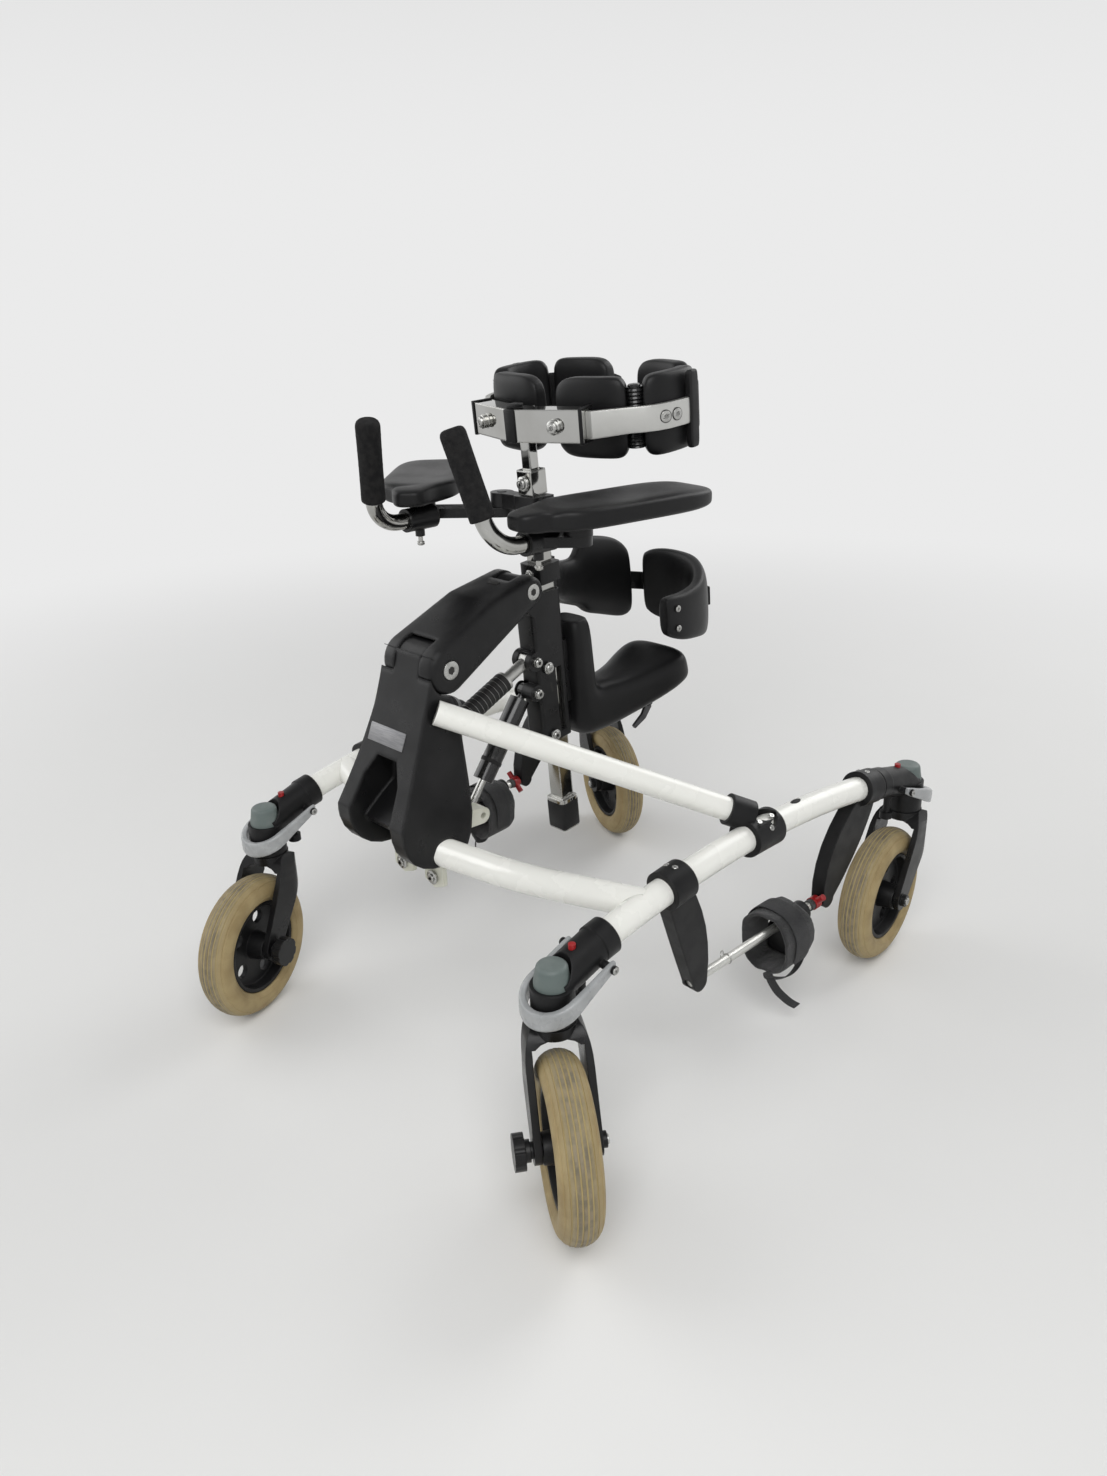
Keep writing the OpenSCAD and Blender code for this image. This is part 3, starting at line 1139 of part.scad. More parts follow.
module grip(i) color([0.06, 0.06, 0.06]) footprint() sided(i) difference() {
    along(grip_foot, grip_top) rotate_extrude()
        polygon(concat([[0, 0], [grip_d / 2 - over, 0], [grip_d / 2, over]],
        [for (a = [0:15:90]) [grip_d / 2 - grip_edge + grip_edge * cos(a), grip_l - grip_edge
            + grip_edge * sin(a)]],
        [[0, grip_l]]));
    rod(grip_foot - grip_line * over, grip_top - grip_line * (handle_proud - seat), handle_d / 2 + seat);
}

// Chest support
chest_ahead = 44;
chest_mid_y = chest_half_d + chest_ahead;
vee_turn = 16;
vee_l = 94;
vee_front = -15;
tube_bore = chest_bar_t + 2 * gap;
function ring_pt(a, out, up) = [(chest_half_w + out) * bow(cos(a), 0.72), chest_mid_y
    + (chest_half_d + out) * bow(sin(a), 0.72), chest_z + up];
function ring_side(a) = unit([cos(a) / chest_half_w, sin(a) / chest_half_d, 0]);
module vee_tube(i, w, h, from, to) sided(i) translate([0, vee_front, chest_z]) rotate([0, 0, vee_turn])
    translate([from, -w / 2, -h / 2]) cube([to - from, w, h]);

module chest_post() color([0.82, 0.82, 0.84]) footprint() leaning() {
    square_bar(chest_post_w, post_top - chest_post_reach, chest_z - chest_tube_h / 2 + 2 * over);
    difference() {
        union() {
            for (i = [0, 1]) intersection() {
                vee_tube(i, chest_tube_d, chest_tube_h, -vee_l, vee_l);
                sided(i) translate([-over, -vee_l, 0]) cube([2 * vee_l, 3 * vee_l, 2 * chest_z]);
            }
            translate([-chest_post_w / 2 - over, vee_front, chest_z - chest_tube_h / 2 + over])
                cube([chest_post_w + 2 * over, -vee_front + chest_post_w / 2 + over,
                    chest_tube_h - 2 * over]);
        }
        for (i = [0, 1]) vee_tube(i, tube_bore, bar_h + 2 * gap, vee_l * 0.15, 2 * vee_l);
    }
    for (i = [0, 1]) sided(i) translate([0, vee_front, chest_z]) rotate([0, 0, vee_turn])
        translate([vee_l * 0.62, over - chest_tube_d / 2, 0])
        rotate([90, 0, 0]) cylinder(h = 2 * head_t + over, r = 2 * link_pin_r);
}

tube_wall_h = 2.5;
bar_h = chest_tube_h - 2 * tube_wall_h - 2 * gap;
vee_dir = [cos(vee_turn), sin(vee_turn), 0];
bar_out = chest_pad_t / 2 + chest_bar_t / 2 + gap;
// Angles on the ring that the curved bar follows
bar_angles = [-40, -30, -20, -10, 0, 9];
function bar_ring(c, side, share) = soft_ring(c, side * chest_bar_t / 2, [0, 0, share * bar_h / 2], 8, 12);
module chest_bar(i) color([0.72, 0.72, 0.72]) footprint() leaning() sided(i)
    loft(concat([for (t = [0.24, 0.6, 1.08])
        bar_ring([0, vee_front, chest_z] + vee_dir * vee_l * t, cross(vee_dir, [0, 0, 1]), 1)],
        [for (a = bar_angles) bar_ring(ring_pt(a, bar_out, 0), ring_side(a), 0.94)]));

// Half height shares towards the ends of a chest pad
pad_end_shares = [[0, 0.55, 0.25], [0.05, 0.86, 0.75], [0.14, 0.98, 0.97], [0.3, 1, 1], [0.5, 1, 1],
    [0.7, 1, 1], [0.86, 0.98, 0.97], [0.95, 0.86, 0.75], [1, 0.55, 0.25]];
module ring_pad(from, to) loft([for (s = pad_end_shares) let (a = from + (to - from) * s[0])
    soft_ring(ring_pt(a, 0, 0), ring_side(a) * s[2] * chest_pad_t / 2, [0, 0, s[1] * chest_pad_h / 2],
        3.4, 16)]);
side_from = -27;
side_to = 32;
back_from = 38;
back_to = 84;
front_from = -87;
front_to = -40;
// Band that joins a side pad to its rear pad, outside both
band_t = 3;
band_from = 14;
band_step = 10;
band_h = chest_pad_h * 0.6;
module pad_band() loft([for (a = [band_from:band_step:back_to])
    soft_ring(ring_pt(a, chest_pad_t / 2 + gap, 0), ring_side(a) * band_t / 2,
    [0, 0, band_h / 2], 8, 12)]);

// Ribbed three-knuckle hinge between a side pad and a front pad
hinge_at = (ring_pt(side_from, 0, 0) + ring_pt(front_to, 0, 0)) / 2;
hinge_r = 8;
hinge_h = chest_pad_h * 0.72;
hinge_pin_r = 3;
rib_d = 0.8;
tab_t = 4;
knuckle_shares = [0, 0.32, 0.68, 1];
function knuckle_z(k) = chest_z - hinge_h / 2 + knuckle_shares[k] * hinge_h;
module knuckle(k, bore) translate([hinge_at.x, hinge_at.y, knuckle_z(k) + gap / 2])
    let (h = knuckle_z(k + 1) - knuckle_z(k) - gap, ribs = 4)
        rotate_extrude() polygon(concat([[bore, 0]], [for (j = [0:2 * ribs])
            [hinge_r - (j % 2) * rib_d, h * j / (2 * ribs)]], [[bore, h]]));
module hinge_tab(k, a) {
    q = ring_pt(a, 0, 0);
    translate([hinge_at.x, hinge_at.y, knuckle_z(k) + gap / 2])
        rotate([0, 0, atan2(q.y - hinge_at.y, q.x - hinge_at.x)])
        translate([hinge_r / 2, -tab_t / 2, 0])
            cube([norm(q - hinge_at) - hinge_r / 2, tab_t, knuckle_z(k + 1) - knuckle_z(k) - gap]);
}

module chest_pad(i) color([0.08, 0.08, 0.08]) footprint() leaning() sided(i) {
    ring_pad(side_from, side_to);
    ring_pad(back_from, back_to);
    pad_band();
    for (k = [0, 2]) {
        knuckle(k, 0);
        hinge_tab(k, side_from * 0.6);
    }
    translate([hinge_at.x, hinge_at.y, chest_z - hinge_h / 2]) cylinder(h = hinge_h, r = hinge_pin_r);
}

module chest_front_pad(i) color([0.08, 0.08, 0.08]) footprint() leaning() sided(i) {
    ring_pad(front_from, front_to);
    knuckle(1, hinge_pin_r + run);
    hinge_tab(1, front_to * 1.25);
}

NODES = concat(
    ["side_rails", "cross_tubes", "rail_fittings", "caster_arms", "caster_caps", "tower_cover",
        "tower_bracket",
     "guide_rods", "rod_knobs", "frame_screws"],
    [for (c = corner_names, n = ["fork", "tyre", "rim", "bail", "button"]) str(n, "_", c)],
    ["upper_arm", "lower_link", "gas_cylinder", "gas_rod", "mast", "mast_bolts", "seat_post",
     "saddle", "saddle_bracket", "seat_lever", "pelvic_strap", "pelvic_pads", "arm_crossbar",
     "chest_post"],
    [for (s = side_names, n = ["arm_carrier", "forearm_pad", "handle", "grip", "chest_bar", "chest_pad",
        "chest_front_pad", "ankle_cuff"])
        str(n, "_", s)]);
node = "all";

function shown(name) = node == "all" || node == name;
if (shown("side_rails")) side_rails();
if (shown("cross_tubes")) cross_tubes();
if (shown("rail_fittings")) rail_fittings();
if (shown("caster_arms")) caster_arms();
if (shown("caster_caps")) caster_caps();
if (shown("tower_cover")) tower_cover();
if (shown("tower_bracket")) tower_bracket();
if (shown("guide_rods")) guide_rods();
if (shown("rod_knobs")) rod_knobs();
if (shown("frame_screws")) frame_screws();
for (i = corner_ids) {
    if (shown(str("fork_", corner_names[i]))) fork(i);
    if (shown(str("tyre_", corner_names[i]))) tyre(i);
    if (shown(str("rim_", corner_names[i]))) rim(i);
    if (shown(str("bail_", corner_names[i]))) bail(i);
    if (shown(str("button_", corner_names[i]))) button(i);
}
if (shown("upper_arm")) upper_arm();
if (shown("lower_link")) lower_link();
if (shown("gas_cylinder")) gas_cylinder();
if (shown("gas_rod")) gas_rod();
if (shown("mast")) mast();
if (shown("mast_bolts")) mast_bolts();
if (shown("seat_post")) seat_post();
if (shown("saddle")) saddle();
if (shown("saddle_bracket")) saddle_bracket();
if (shown("seat_lever")) seat_lever();
if (shown("pelvic_strap")) pelvic_strap();
if (shown("pelvic_pads")) pelvic_pads();
if (shown("arm_crossbar")) arm_crossbar();
if (shown("chest_post")) chest_post();
for (i = [0, 1]) {
    if (shown(str("arm_carrier_", side_names[i]))) arm_carrier(i);
    if (shown(str("forearm_pad_", side_names[i]))) forearm_pad(i);
    if (shown(str("handle_", side_names[i]))) handle(i);
    if (shown(str("grip_", side_names[i]))) grip(i);
    if (shown(str("chest_bar_", side_names[i]))) chest_bar(i);
    if (shown(str("chest_pad_", side_names[i]))) chest_pad(i);
    if (shown(str("chest_front_pad_", side_names[i]))) chest_front_pad(i);
    if (shown(str("ankle_cuff_", side_names[i]))) ankle_cuff(i);
}
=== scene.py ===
import bpy
import bmesh
import math
from mathutils import Matrix, Vector


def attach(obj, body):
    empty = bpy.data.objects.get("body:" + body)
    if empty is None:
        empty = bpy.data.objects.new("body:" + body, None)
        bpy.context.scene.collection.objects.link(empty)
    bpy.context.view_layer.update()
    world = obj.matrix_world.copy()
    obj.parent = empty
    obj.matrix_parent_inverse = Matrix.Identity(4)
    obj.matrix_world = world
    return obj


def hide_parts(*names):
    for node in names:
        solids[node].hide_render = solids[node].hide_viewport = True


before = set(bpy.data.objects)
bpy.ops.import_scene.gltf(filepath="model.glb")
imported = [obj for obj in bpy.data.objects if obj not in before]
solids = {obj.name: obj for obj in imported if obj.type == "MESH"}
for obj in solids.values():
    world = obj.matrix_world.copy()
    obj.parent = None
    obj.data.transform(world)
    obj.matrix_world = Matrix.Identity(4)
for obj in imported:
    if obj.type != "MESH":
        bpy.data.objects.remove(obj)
scene = bpy.context.scene
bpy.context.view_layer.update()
print("frame loaded with", len(solids), "solids")

# the drawing frame of the walker: origin on the floor between the front swivels, millimetres
layout = {"midX": 36.97458, "midY": 297.42855, "railZ": 284, "postY": 305, "lean": 4.8, "railTurn": 2.0139,
          "frontHalf": 283, "sides": ["left", "right"]}
drawing = Matrix.Scale(0.001, 4) @ Matrix.Translation((-layout["midX"], -layout["midY"], 0))


def sideOf(i):  # 0 is the walker's left, 1 the right
    return drawing @ Matrix.Scale(-1, 4, (1, 0, 0)) if i else drawing.copy()


def leaned(i=0):  # along the leaning mast
    return sideOf(i) @ Matrix.Translation((0, layout["postY"], layout["railZ"])) @ turn(layout["lean"], "X")


def alongRail(i):
    return sideOf(i) @ Matrix.Translation((layout["frontHalf"], 0, 0)) @ turn(-layout["railTurn"], "Z")


def turn(degrees, axis):
    return Matrix.Rotation(math.radians(degrees), 4, axis)


def facing(point, direction):  # +Z of a piece looks along direction
    return Matrix.Translation(point) @ Vector(direction).to_track_quat("Z", "Y").to_matrix().to_4x4()


def bow(x, e):
    return math.copysign(abs(x) ** e, x)


def smoothRow(rows, t):  # a smooth line through rows of numbers, t from 0 to 1
    t = max(0.0, min(1.0, t)) * (len(rows) - 1)
    k = min(int(t), len(rows) - 2)
    f = t - k
    p = [rows[max(0, min(len(rows) - 1, k + d))] for d in (-1, 0, 1, 2)]
    return [0.5 * (2 * b + (c - a) * f + (2 * a - 5 * b + 4 * c - d) * f * f
                   + (3 * b - a - 3 * c + d) * f ** 3) for a, b, c, d in zip(*p)]


def lengthOf(pointAt, steps=40):  # metres along a line in millimetres, from pointAt(0) to pointAt(1)
    marks = [pointAt(k / steps) for k in range(steps + 1)]
    return sum((b - a).length for a, b in zip(marks, marks[1:])) / 1000


# finishes on Object coordinates
def newFinish(name):
    finish = bpy.data.materials.new(name)
    finish.use_nodes = True
    tree = finish.node_tree
    shader = tree.nodes["Principled BSDF"]
    place = tree.nodes.new("ShaderNodeTexCoord").outputs["Object"]
    return finish, tree, shader, place


def setSockets(node, values):
    for name, value in values.items():
        node.inputs[name].default_value = value


def noiseOn(tree, place, scale, detail, stretch=None):
    noise = tree.nodes.new("ShaderNodeTexNoise")
    setSockets(noise, {"Scale": scale, "Detail": detail})
    if stretch:
        mapping = tree.nodes.new("ShaderNodeMapping")
        setSockets(mapping, {"Scale": stretch})
        tree.links.new(place, mapping.inputs["Vector"])
        place = mapping.outputs["Vector"]
    tree.links.new(place, noise.inputs["Vector"])
    return noise.outputs["Fac"]


def spread(tree, value, low, high, toLow, toHigh):
    span = tree.nodes.new("ShaderNodeMapRange")
    span.interpolation_type = "SMOOTHSTEP"
    setSockets(span, {"From Min": low, "From Max": high, "To Min": toLow, "To Max": toHigh})
    tree.links.new(value, span.inputs["Value"])
    return span.outputs["Result"]


def blendColours(tree, share, first, second):
    mix = tree.nodes.new("ShaderNodeMix")
    mix.data_type = "RGBA"
    tree.links.new(share, mix.inputs["Factor"])
    for name, colour in (("A", first), ("B", second)):
        socket = next(s for s in mix.inputs if s.name == name and s.type == "RGBA")
        if isinstance(colour, tuple):
            socket.default_value = (*colour, 1)
        else:
            tree.links.new(colour, socket)
    return next(o for o in mix.outputs if o.type == "RGBA")


def bumpOn(tree, shader, height, share, depth, normal=None):
    bump = tree.nodes.new("ShaderNodeBump")
    setSockets(bump, {"Strength": share, "Distance": depth})
    tree.links.new(height, bump.inputs["Height"])
    if normal:
        tree.links.new(normal, bump.inputs["Normal"])
    tree.links.new(bump.outputs["Normal"], shader.inputs["Normal"])


def product(tree, a, b, operation="MULTIPLY"):
    node = tree.nodes.new("ShaderNodeMath")
    node.operation = operation
    for k, x in enumerate((a, b)):
        if isinstance(x, (int, float)):
            node.inputs[k].default_value = x
        else:
            tree.links.new(x, node.inputs[k])
    return node.outputs[0]


def edgeShare(tree, radius):  # 1 along the sharp edges of a solid, 0 on its faces
    rounded = tree.nodes.new("ShaderNodeBevel")
    rounded.samples = 4
    rounded.inputs["Radius"].default_value = radius
    face = tree.nodes.new("ShaderNodeNewGeometry")
    dot = tree.nodes.new("ShaderNodeVectorMath")
    dot.operation = "DOT_PRODUCT"
    tree.links.new(rounded.outputs["Normal"], dot.inputs[0])
    tree.links.new(face.outputs["Normal"], dot.inputs[1])
    return spread(tree, dot.outputs["Value"], 0.99, 0.8, 0, 1), rounded.outputs["Normal"]


plainLook = {"metal": 0, "gloss": 0.5, "coat": 0, "coatRough": 0.12, "grainDepth": 0.0003, "stretch": None,
             "cells": False}


def surfaceFinish(name, ownLook):
    look = dict(plainLook, **ownLook)
    finish, tree, shader, place = newFinish(name)
    shade = spread(tree, noiseOn(tree, place, look["tintScale"], 4, look["stretch"]), 0.35, 0.68, 0, 1)
    colour = blendColours(tree, shade, look["base"], look["tint"])
    normal = None
    if "edge" in look:
        edge, normal = edgeShare(tree, look["edge"])
        worn = product(tree, edge, spread(tree, noiseOn(tree, place, 60, 4), 0.45, 0.7, 0, look["wear"]))
        colour = blendColours(tree, worn, colour, look["worn"])
    if "scuff" in look:
        marks = spread(tree, noiseOn(tree, place, 34, 8, (1, 3, 1)), 0.66, 0.74, 0, look["scuffShare"])
        colour = blendColours(tree, marks, colour, look["scuff"])
    tree.links.new(colour, shader.inputs["Base Color"])
    rough = spread(tree, noiseOn(tree, place, look["roughScale"], 5, look["stretch"]), 0.3, 0.7,
                   *look["rough"])
    tree.links.new(rough, shader.inputs["Roughness"])
    setSockets(shader, {"Metallic": look["metal"], "Specular IOR Level": look["gloss"],
                        "Coat Weight": look["coat"], "Coat Roughness": look["coatRough"]})
    if look["cells"]:
        cells = tree.nodes.new("ShaderNodeTexVoronoi")
        setSockets(cells, {"Scale": look["grain"]})
        tree.links.new(place, cells.inputs["Vector"])
        grain = cells.outputs["Distance"]
    else:
        grain = noiseOn(tree, place, look["grain"], 2, look["stretch"])
    bumpOn(tree, shader, grain, look["grainShare"], look["grainDepth"], normal)
    return finish


surfaceLooks = {
    "whiteEnamel": {
        "base": (0.84, 0.84, 0.795), "tint": (0.832, 0.832, 0.785), "tintScale": 5, "rough": (0.2, 0.32),
        "roughScale": 26, "coat": 0.35, "grain": 900, "grainShare": 0.12, "grainDepth": 0.0004,
        "scuff": (0.6, 0.59, 0.55), "scuffShare": 0.07, "edge": 0.0008, "wear": 0.25,
        "worn": (0.5, 0.49, 0.45)},
    "creamSteel": {
        "base": (0.71, 0.71, 0.62), "tint": (0.6, 0.6, 0.5), "tintScale": 24, "rough": (0.3, 0.5),
        "roughScale": 40, "grain": 700, "grainShare": 0.15, "grainDepth": 0.0004, "edge": 0.0012,
        "wear": 0.5, "worn": (0.4, 0.39, 0.34), "scuff": (0.3, 0.28, 0.2), "scuffShare": 0.4},
    "towerMoulding": {
        "base": (0.0055, 0.0055, 0.006), "tint": (0.011, 0.011, 0.0115), "tintScale": 16,
        "rough": (0.27, 0.4), "roughScale": 40, "grain": 1500, "grainShare": 0.2, "gloss": 0.24,
        "edge": 0.0065, "wear": 0.12, "worn": (0.05, 0.05, 0.05)},
    "blackMoulding": {
        "base": (0.0065, 0.0065, 0.007), "tint": (0.011, 0.011, 0.0115), "tintScale": 18, "gloss": 0.23,
        "rough": (0.34, 0.48), "roughScale": 50, "grain": 1500, "grainShare": 0.3, "edge": 0.0028,
        "wear": 0.25, "worn": (0.07, 0.07, 0.07)},
    "blackEnamel": {
        "base": (0.006, 0.006, 0.0065), "tint": (0.012, 0.012, 0.0125), "tintScale": 22, "gloss": 0.28,
        "rough": (0.26, 0.38), "roughScale": 44, "grain": 1000, "grainShare": 0.14, "edge": 0.0016,
        "wear": 0.4, "worn": (0.09, 0.09, 0.09), "scuff": (0.035, 0.034, 0.03), "scuffShare": 0.4},
    "springBlack": {
        "base": (0.006, 0.006, 0.0065), "tint": (0.011, 0.011, 0.0115), "tintScale": 30, "gloss": 0.4,
        "rough": (0.2, 0.3), "roughScale": 60, "coat": 0.4, "grain": 500, "grainShare": 0.05,
        "grainDepth": 0.0002, "edge": 0.0009, "wear": 0.2, "worn": (0.1, 0.1, 0.1)},
    "greyCap": {
        "base": (0.115, 0.145, 0.138), "tint": (0.145, 0.172, 0.165), "tintScale": 40,
        "rough": (0.42, 0.58), "roughScale": 70, "grain": 1800, "grainShare": 0.25, "edge": 0.001,
        "wear": 0.4, "worn": (0.3, 0.32, 0.31)},
    "greyLever": {
        "base": (0.37, 0.38, 0.385), "tint": (0.31, 0.32, 0.325), "tintScale": 45, "rough": (0.22, 0.36),
        "roughScale": 60, "coat": 0.3, "grain": 800, "grainShare": 0.1, "edge": 0.0014, "wear": 0.35,
        "worn": (0.2, 0.2, 0.2)},
    "darkLever": {
        "base": (0.06, 0.06, 0.063), "tint": (0.09, 0.09, 0.093), "tintScale": 45, "rough": (0.3, 0.45),
        "roughScale": 60, "grain": 800, "grainShare": 0.1, "metal": 0.6, "edge": 0.0008, "wear": 0.5,
        "worn": (0.3, 0.3, 0.3)},
    "redPlastic": {
        "base": (0.36, 0.012, 0.014), "tint": (0.27, 0.008, 0.01), "tintScale": 90, "rough": (0.3, 0.45),
        "roughScale": 120, "grain": 2000, "grainShare": 0.12, "grainDepth": 0.0002, "edge": 0.0008,
        "wear": 0.3, "worn": (0.5, 0.12, 0.12)},
    "chrome": {
        "base": (0.47, 0.47, 0.455), "tint": (0.39, 0.385, 0.365), "tintScale": 12, "rough": (0.03, 0.09),
        "roughScale": 30, "metal": 1, "grain": 90, "grainShare": 0.04, "grainDepth": 0.0002, "edge": 0.0028,
        "wear": 0.6, "worn": (0.82, 0.82, 0.81)},
    "satinAlloy": {
        "base": (0.56, 0.56, 0.54), "tint": (0.47, 0.47, 0.45), "tintScale": 12, "rough": (0.28, 0.42),
        "roughScale": 240, "metal": 0.85, "grain": 1400, "grainShare": 0.12, "grainDepth": 0.0002,
        "edge": 0.0008, "wear": 0.3, "worn": (0.7, 0.7, 0.68)},
    "rodAlloy": {
        "base": (0.66, 0.66, 0.63), "tint": (0.5, 0.5, 0.47), "tintScale": 30, "rough": (0.24, 0.4),
        "roughScale": 300, "metal": 0.9, "grain": 500, "grainShare": 0.3, "grainDepth": 0.0004,
        "stretch": (4, 0.05, 4)},
    "zincSteel": {
        "base": (0.5, 0.5, 0.485), "tint": (0.4, 0.4, 0.385), "tintScale": 120, "rough": (0.2, 0.36),
        "roughScale": 200, "metal": 0.95, "grain": 900, "grainShare": 0.1, "grainDepth": 0.0002,
        "edge": 0.0006, "wear": 0.3, "worn": (0.7, 0.7, 0.68)},
    "socketShadow": {
        "base": (0.012, 0.012, 0.012), "tint": (0.03, 0.028, 0.025), "tintScale": 300, "rough": (0.6, 0.8),
        "roughScale": 300, "grain": 900, "grainShare": 0.1, "grainDepth": 0.0002},
    "blankPlate": {
        "base": (0.2, 0.2, 0.21), "tint": (0.26, 0.26, 0.265), "tintScale": 60, "rough": (0.3, 0.45),
        "roughScale": 300, "metal": 0.5, "grain": 900, "grainShare": 0.15, "grainDepth": 0.0002,
        "stretch": (1, 1, 14)},
    "bootRubber": {
        "base": (0.008, 0.008, 0.008), "tint": (0.015, 0.0145, 0.014), "tintScale": 60, "gloss": 0.3,
        "rough": (0.5, 0.68), "roughScale": 90, "grain": 1300, "grainShare": 0.35, "grainDepth": 0.0004},
    "greySleeve": {
        "base": (0.035, 0.037, 0.037), "tint": (0.06, 0.061, 0.06), "tintScale": 50, "rough": (0.45, 0.6),
        "roughScale": 90, "grain": 1100, "grainShare": 0.3},
    "skinFoam": {
        "base": (0.0065, 0.0065, 0.007), "tint": (0.0095, 0.0095, 0.01), "tintScale": 12, "gloss": 0.22,
        "rough": (0.36, 0.42), "roughScale": 20, "grain": 1250, "grainShare": 0.32, "cells": True},
    "gripFoam": {
        "base": (0.0085, 0.0085, 0.009), "tint": (0.016, 0.0155, 0.0155), "tintScale": 120, "gloss": 0.2,
        "rough": (0.82, 0.95), "roughScale": 160, "grain": 950, "grainShare": 0.8, "grainDepth": 0.0006,
        "cells": True},
}
finishes = {name: surfaceFinish(name, look) for name, look in surfaceLooks.items()}

clothLook = {"base": (0.008, 0.008, 0.009), "tint": (0.020, 0.020, 0.021), "threads": 520, "depth": 0.0006,
             "rough": 0.9, "sheen": 0.25, "sheenRough": 0.5, "bump": 0.7, "wander": 1.2}
webLook = dict(clothLook, base=(0.010, 0.010, 0.012), threads=900, depth=0.0004, rough=0.75, sheen=0.1)


def clothFinish(name, look):  # crossed threads on Object coordinates
    finish, tree, shader, place = newFinish(name)
    height = noiseOn(tree, place, 240, 3)
    for axis in ("X", "Z"):
        wave = tree.nodes.new("ShaderNodeTexWave")
        wave.bands_direction = axis
        setSockets(wave, {"Scale": look["threads"], "Distortion": look["wander"]})
        tree.links.new(place, wave.inputs["Vector"])
        height = product(tree, height, wave.outputs["Fac"], "ADD")
    fuzz = spread(tree, noiseOn(tree, place, 60, 5), 0.35, 0.7, 0, 1)
    tree.links.new(blendColours(tree, fuzz, look["base"], look["tint"]), shader.inputs["Base Color"])
    setSockets(shader, {"Roughness": look["rough"], "Sheen Weight": look["sheen"],
                        "Sheen Roughness": look["sheenRough"]})
    bumpOn(tree, shader, height, look["bump"], look["depth"])
    return finish


finishes["cuffCloth"] = clothFinish("cuffCloth", clothLook)
finishes["webbing"] = clothFinish("webbing", webLook)

tyreLook = {"wall": (0.37, 0.285, 0.14), "wallDeep": (0.285, 0.21, 0.095), "rib": (0.235, 0.195, 0.13),
            "ribDeep": (0.14, 0.12, 0.085), "groove": (0.46, 0.37, 0.18), "grooveShare": 0.8,
            "halfWidth": 0.024, "dirtHalf": 0.85, "rough": 0.62, "bump": 0.35, "depth": 0.0006}


def attributeOf(tree, name, socket):
    own = tree.nodes.new("ShaderNodeAttribute")
    own.attribute_name = name
    return own.outputs[socket]


def tyreFinish(look):  # the mesh carries its own place on the wheel and which points are on top of a rib
    finish, tree, shader = newFinish("tanRubber")[:3]
    own, rib = attributeOf(tree, "wheelPlace", "Vector"), attributeOf(tree, "ribTop", "Fac")
    split = tree.nodes.new("ShaderNodeSeparateXYZ")
    tree.links.new(own, split.inputs[0])
    across = product(tree, product(tree, split.outputs["Z"], 0, "ABSOLUTE"), 1 / look["halfWidth"])
    wall = blendColours(tree, spread(tree, noiseOn(tree, own, 38, 6), 0.3, 0.7, 0, 1), look["wall"],
                        look["wallDeep"])
    dirt = blendColours(tree, spread(tree, noiseOn(tree, own, 90, 6), 0.35, 0.65, 0, 1), look["rib"],
                        look["ribDeep"])
    tread = spread(tree, across, look["dirtHalf"], 0.25, 0, 1)
    patchy = product(tree, tread, spread(tree, noiseOn(tree, own, 14, 4), 0.3, 0.6, 0.35, 0.95))
    treadWall = blendColours(tree, product(tree, tread, look["grooveShare"]), wall, look["groove"])
    colour = blendColours(tree, product(tree, patchy, rib), treadWall, dirt)
    tree.links.new(colour, shader.inputs["Base Color"])
    setSockets(shader, {"Roughness": look["rough"]})
    bumpOn(tree, shader, noiseOn(tree, own, 420, 4), look["bump"], look["depth"])
    return finish


finishes["tanRubber"] = tyreFinish(tyreLook)
print("finishes made:", len(finishes))


# shading of the solids that stay
def shadingByAngle(degrees):
    group = bpy.data.node_groups.new("shadingByAngle", "GeometryNodeTree")
    for way in ("INPUT", "OUTPUT"):
        group.interface.new_socket("Geometry", in_out=way, socket_type="NodeSocketGeometry")
    start, end = group.nodes.new("NodeGroupInput"), group.nodes.new("NodeGroupOutput")
    bare = group.nodes.new("GeometryNodeRemoveAttribute")
    bare.inputs["Name"].default_value = "custom_normal"
    weld = group.nodes.new("GeometryNodeMergeByDistance")
    weld.inputs["Distance"].default_value = 0.00001
    soft = group.nodes.new("GeometryNodeSetShadeSmooth")
    soft.domain = "FACE"
    crisp = group.nodes.new("GeometryNodeSetShadeSmooth")
    crisp.domain = "EDGE"
    crisp.inputs["Shade Smooth"].default_value = False
    angle = group.nodes.new("GeometryNodeInputMeshEdgeAngle")
    sharp = group.nodes.new("FunctionNodeCompare")
    sharp.operation = "GREATER_THAN"
    sharp.inputs[1].default_value = math.radians(degrees)
    group.links.new(angle.outputs[0], sharp.inputs[0])
    group.links.new(sharp.outputs[0], crisp.inputs["Selection"])
    chain = [start, bare, weld, soft, crisp, end]
    for a, b in zip(chain, chain[1:]):
        group.links.new(a.outputs[0], b.inputs[0])
    return group


solidFinish = {
    "whiteEnamel": ["side_rails", "cross_tubes"], "creamSteel": ["tower_bracket"],
    "towerMoulding": ["tower_cover", "upper_arm"], "blackMoulding": ["rail_fittings", "caster_arms"],
    "blackEnamel": ["mast", "saddle_bracket", "pelvic_strap", "arm_crossbar"], "greyCap": ["caster_caps"],
    "rodAlloy": ["guide_rods"], "redPlastic": ["rod_knobs"], "zincSteel": ["frame_screws", "mast_bolts"],
    "satinAlloy": ["lower_link"], "springBlack": ["gas_cylinder"],
    "chrome": ["gas_rod", "seat_post", "chest_post"], "darkLever": ["seat_lever"]}
for corner in ("front_left", "front_right", "rear_left", "rear_right"):
    for finish, part in (("blackEnamel", "fork"), ("blackMoulding", "rim"), ("greyLever", "bail"),
                         ("redPlastic", "button")):
        solidFinish[finish] = solidFinish.get(finish, []) + [part + "_" + corner]
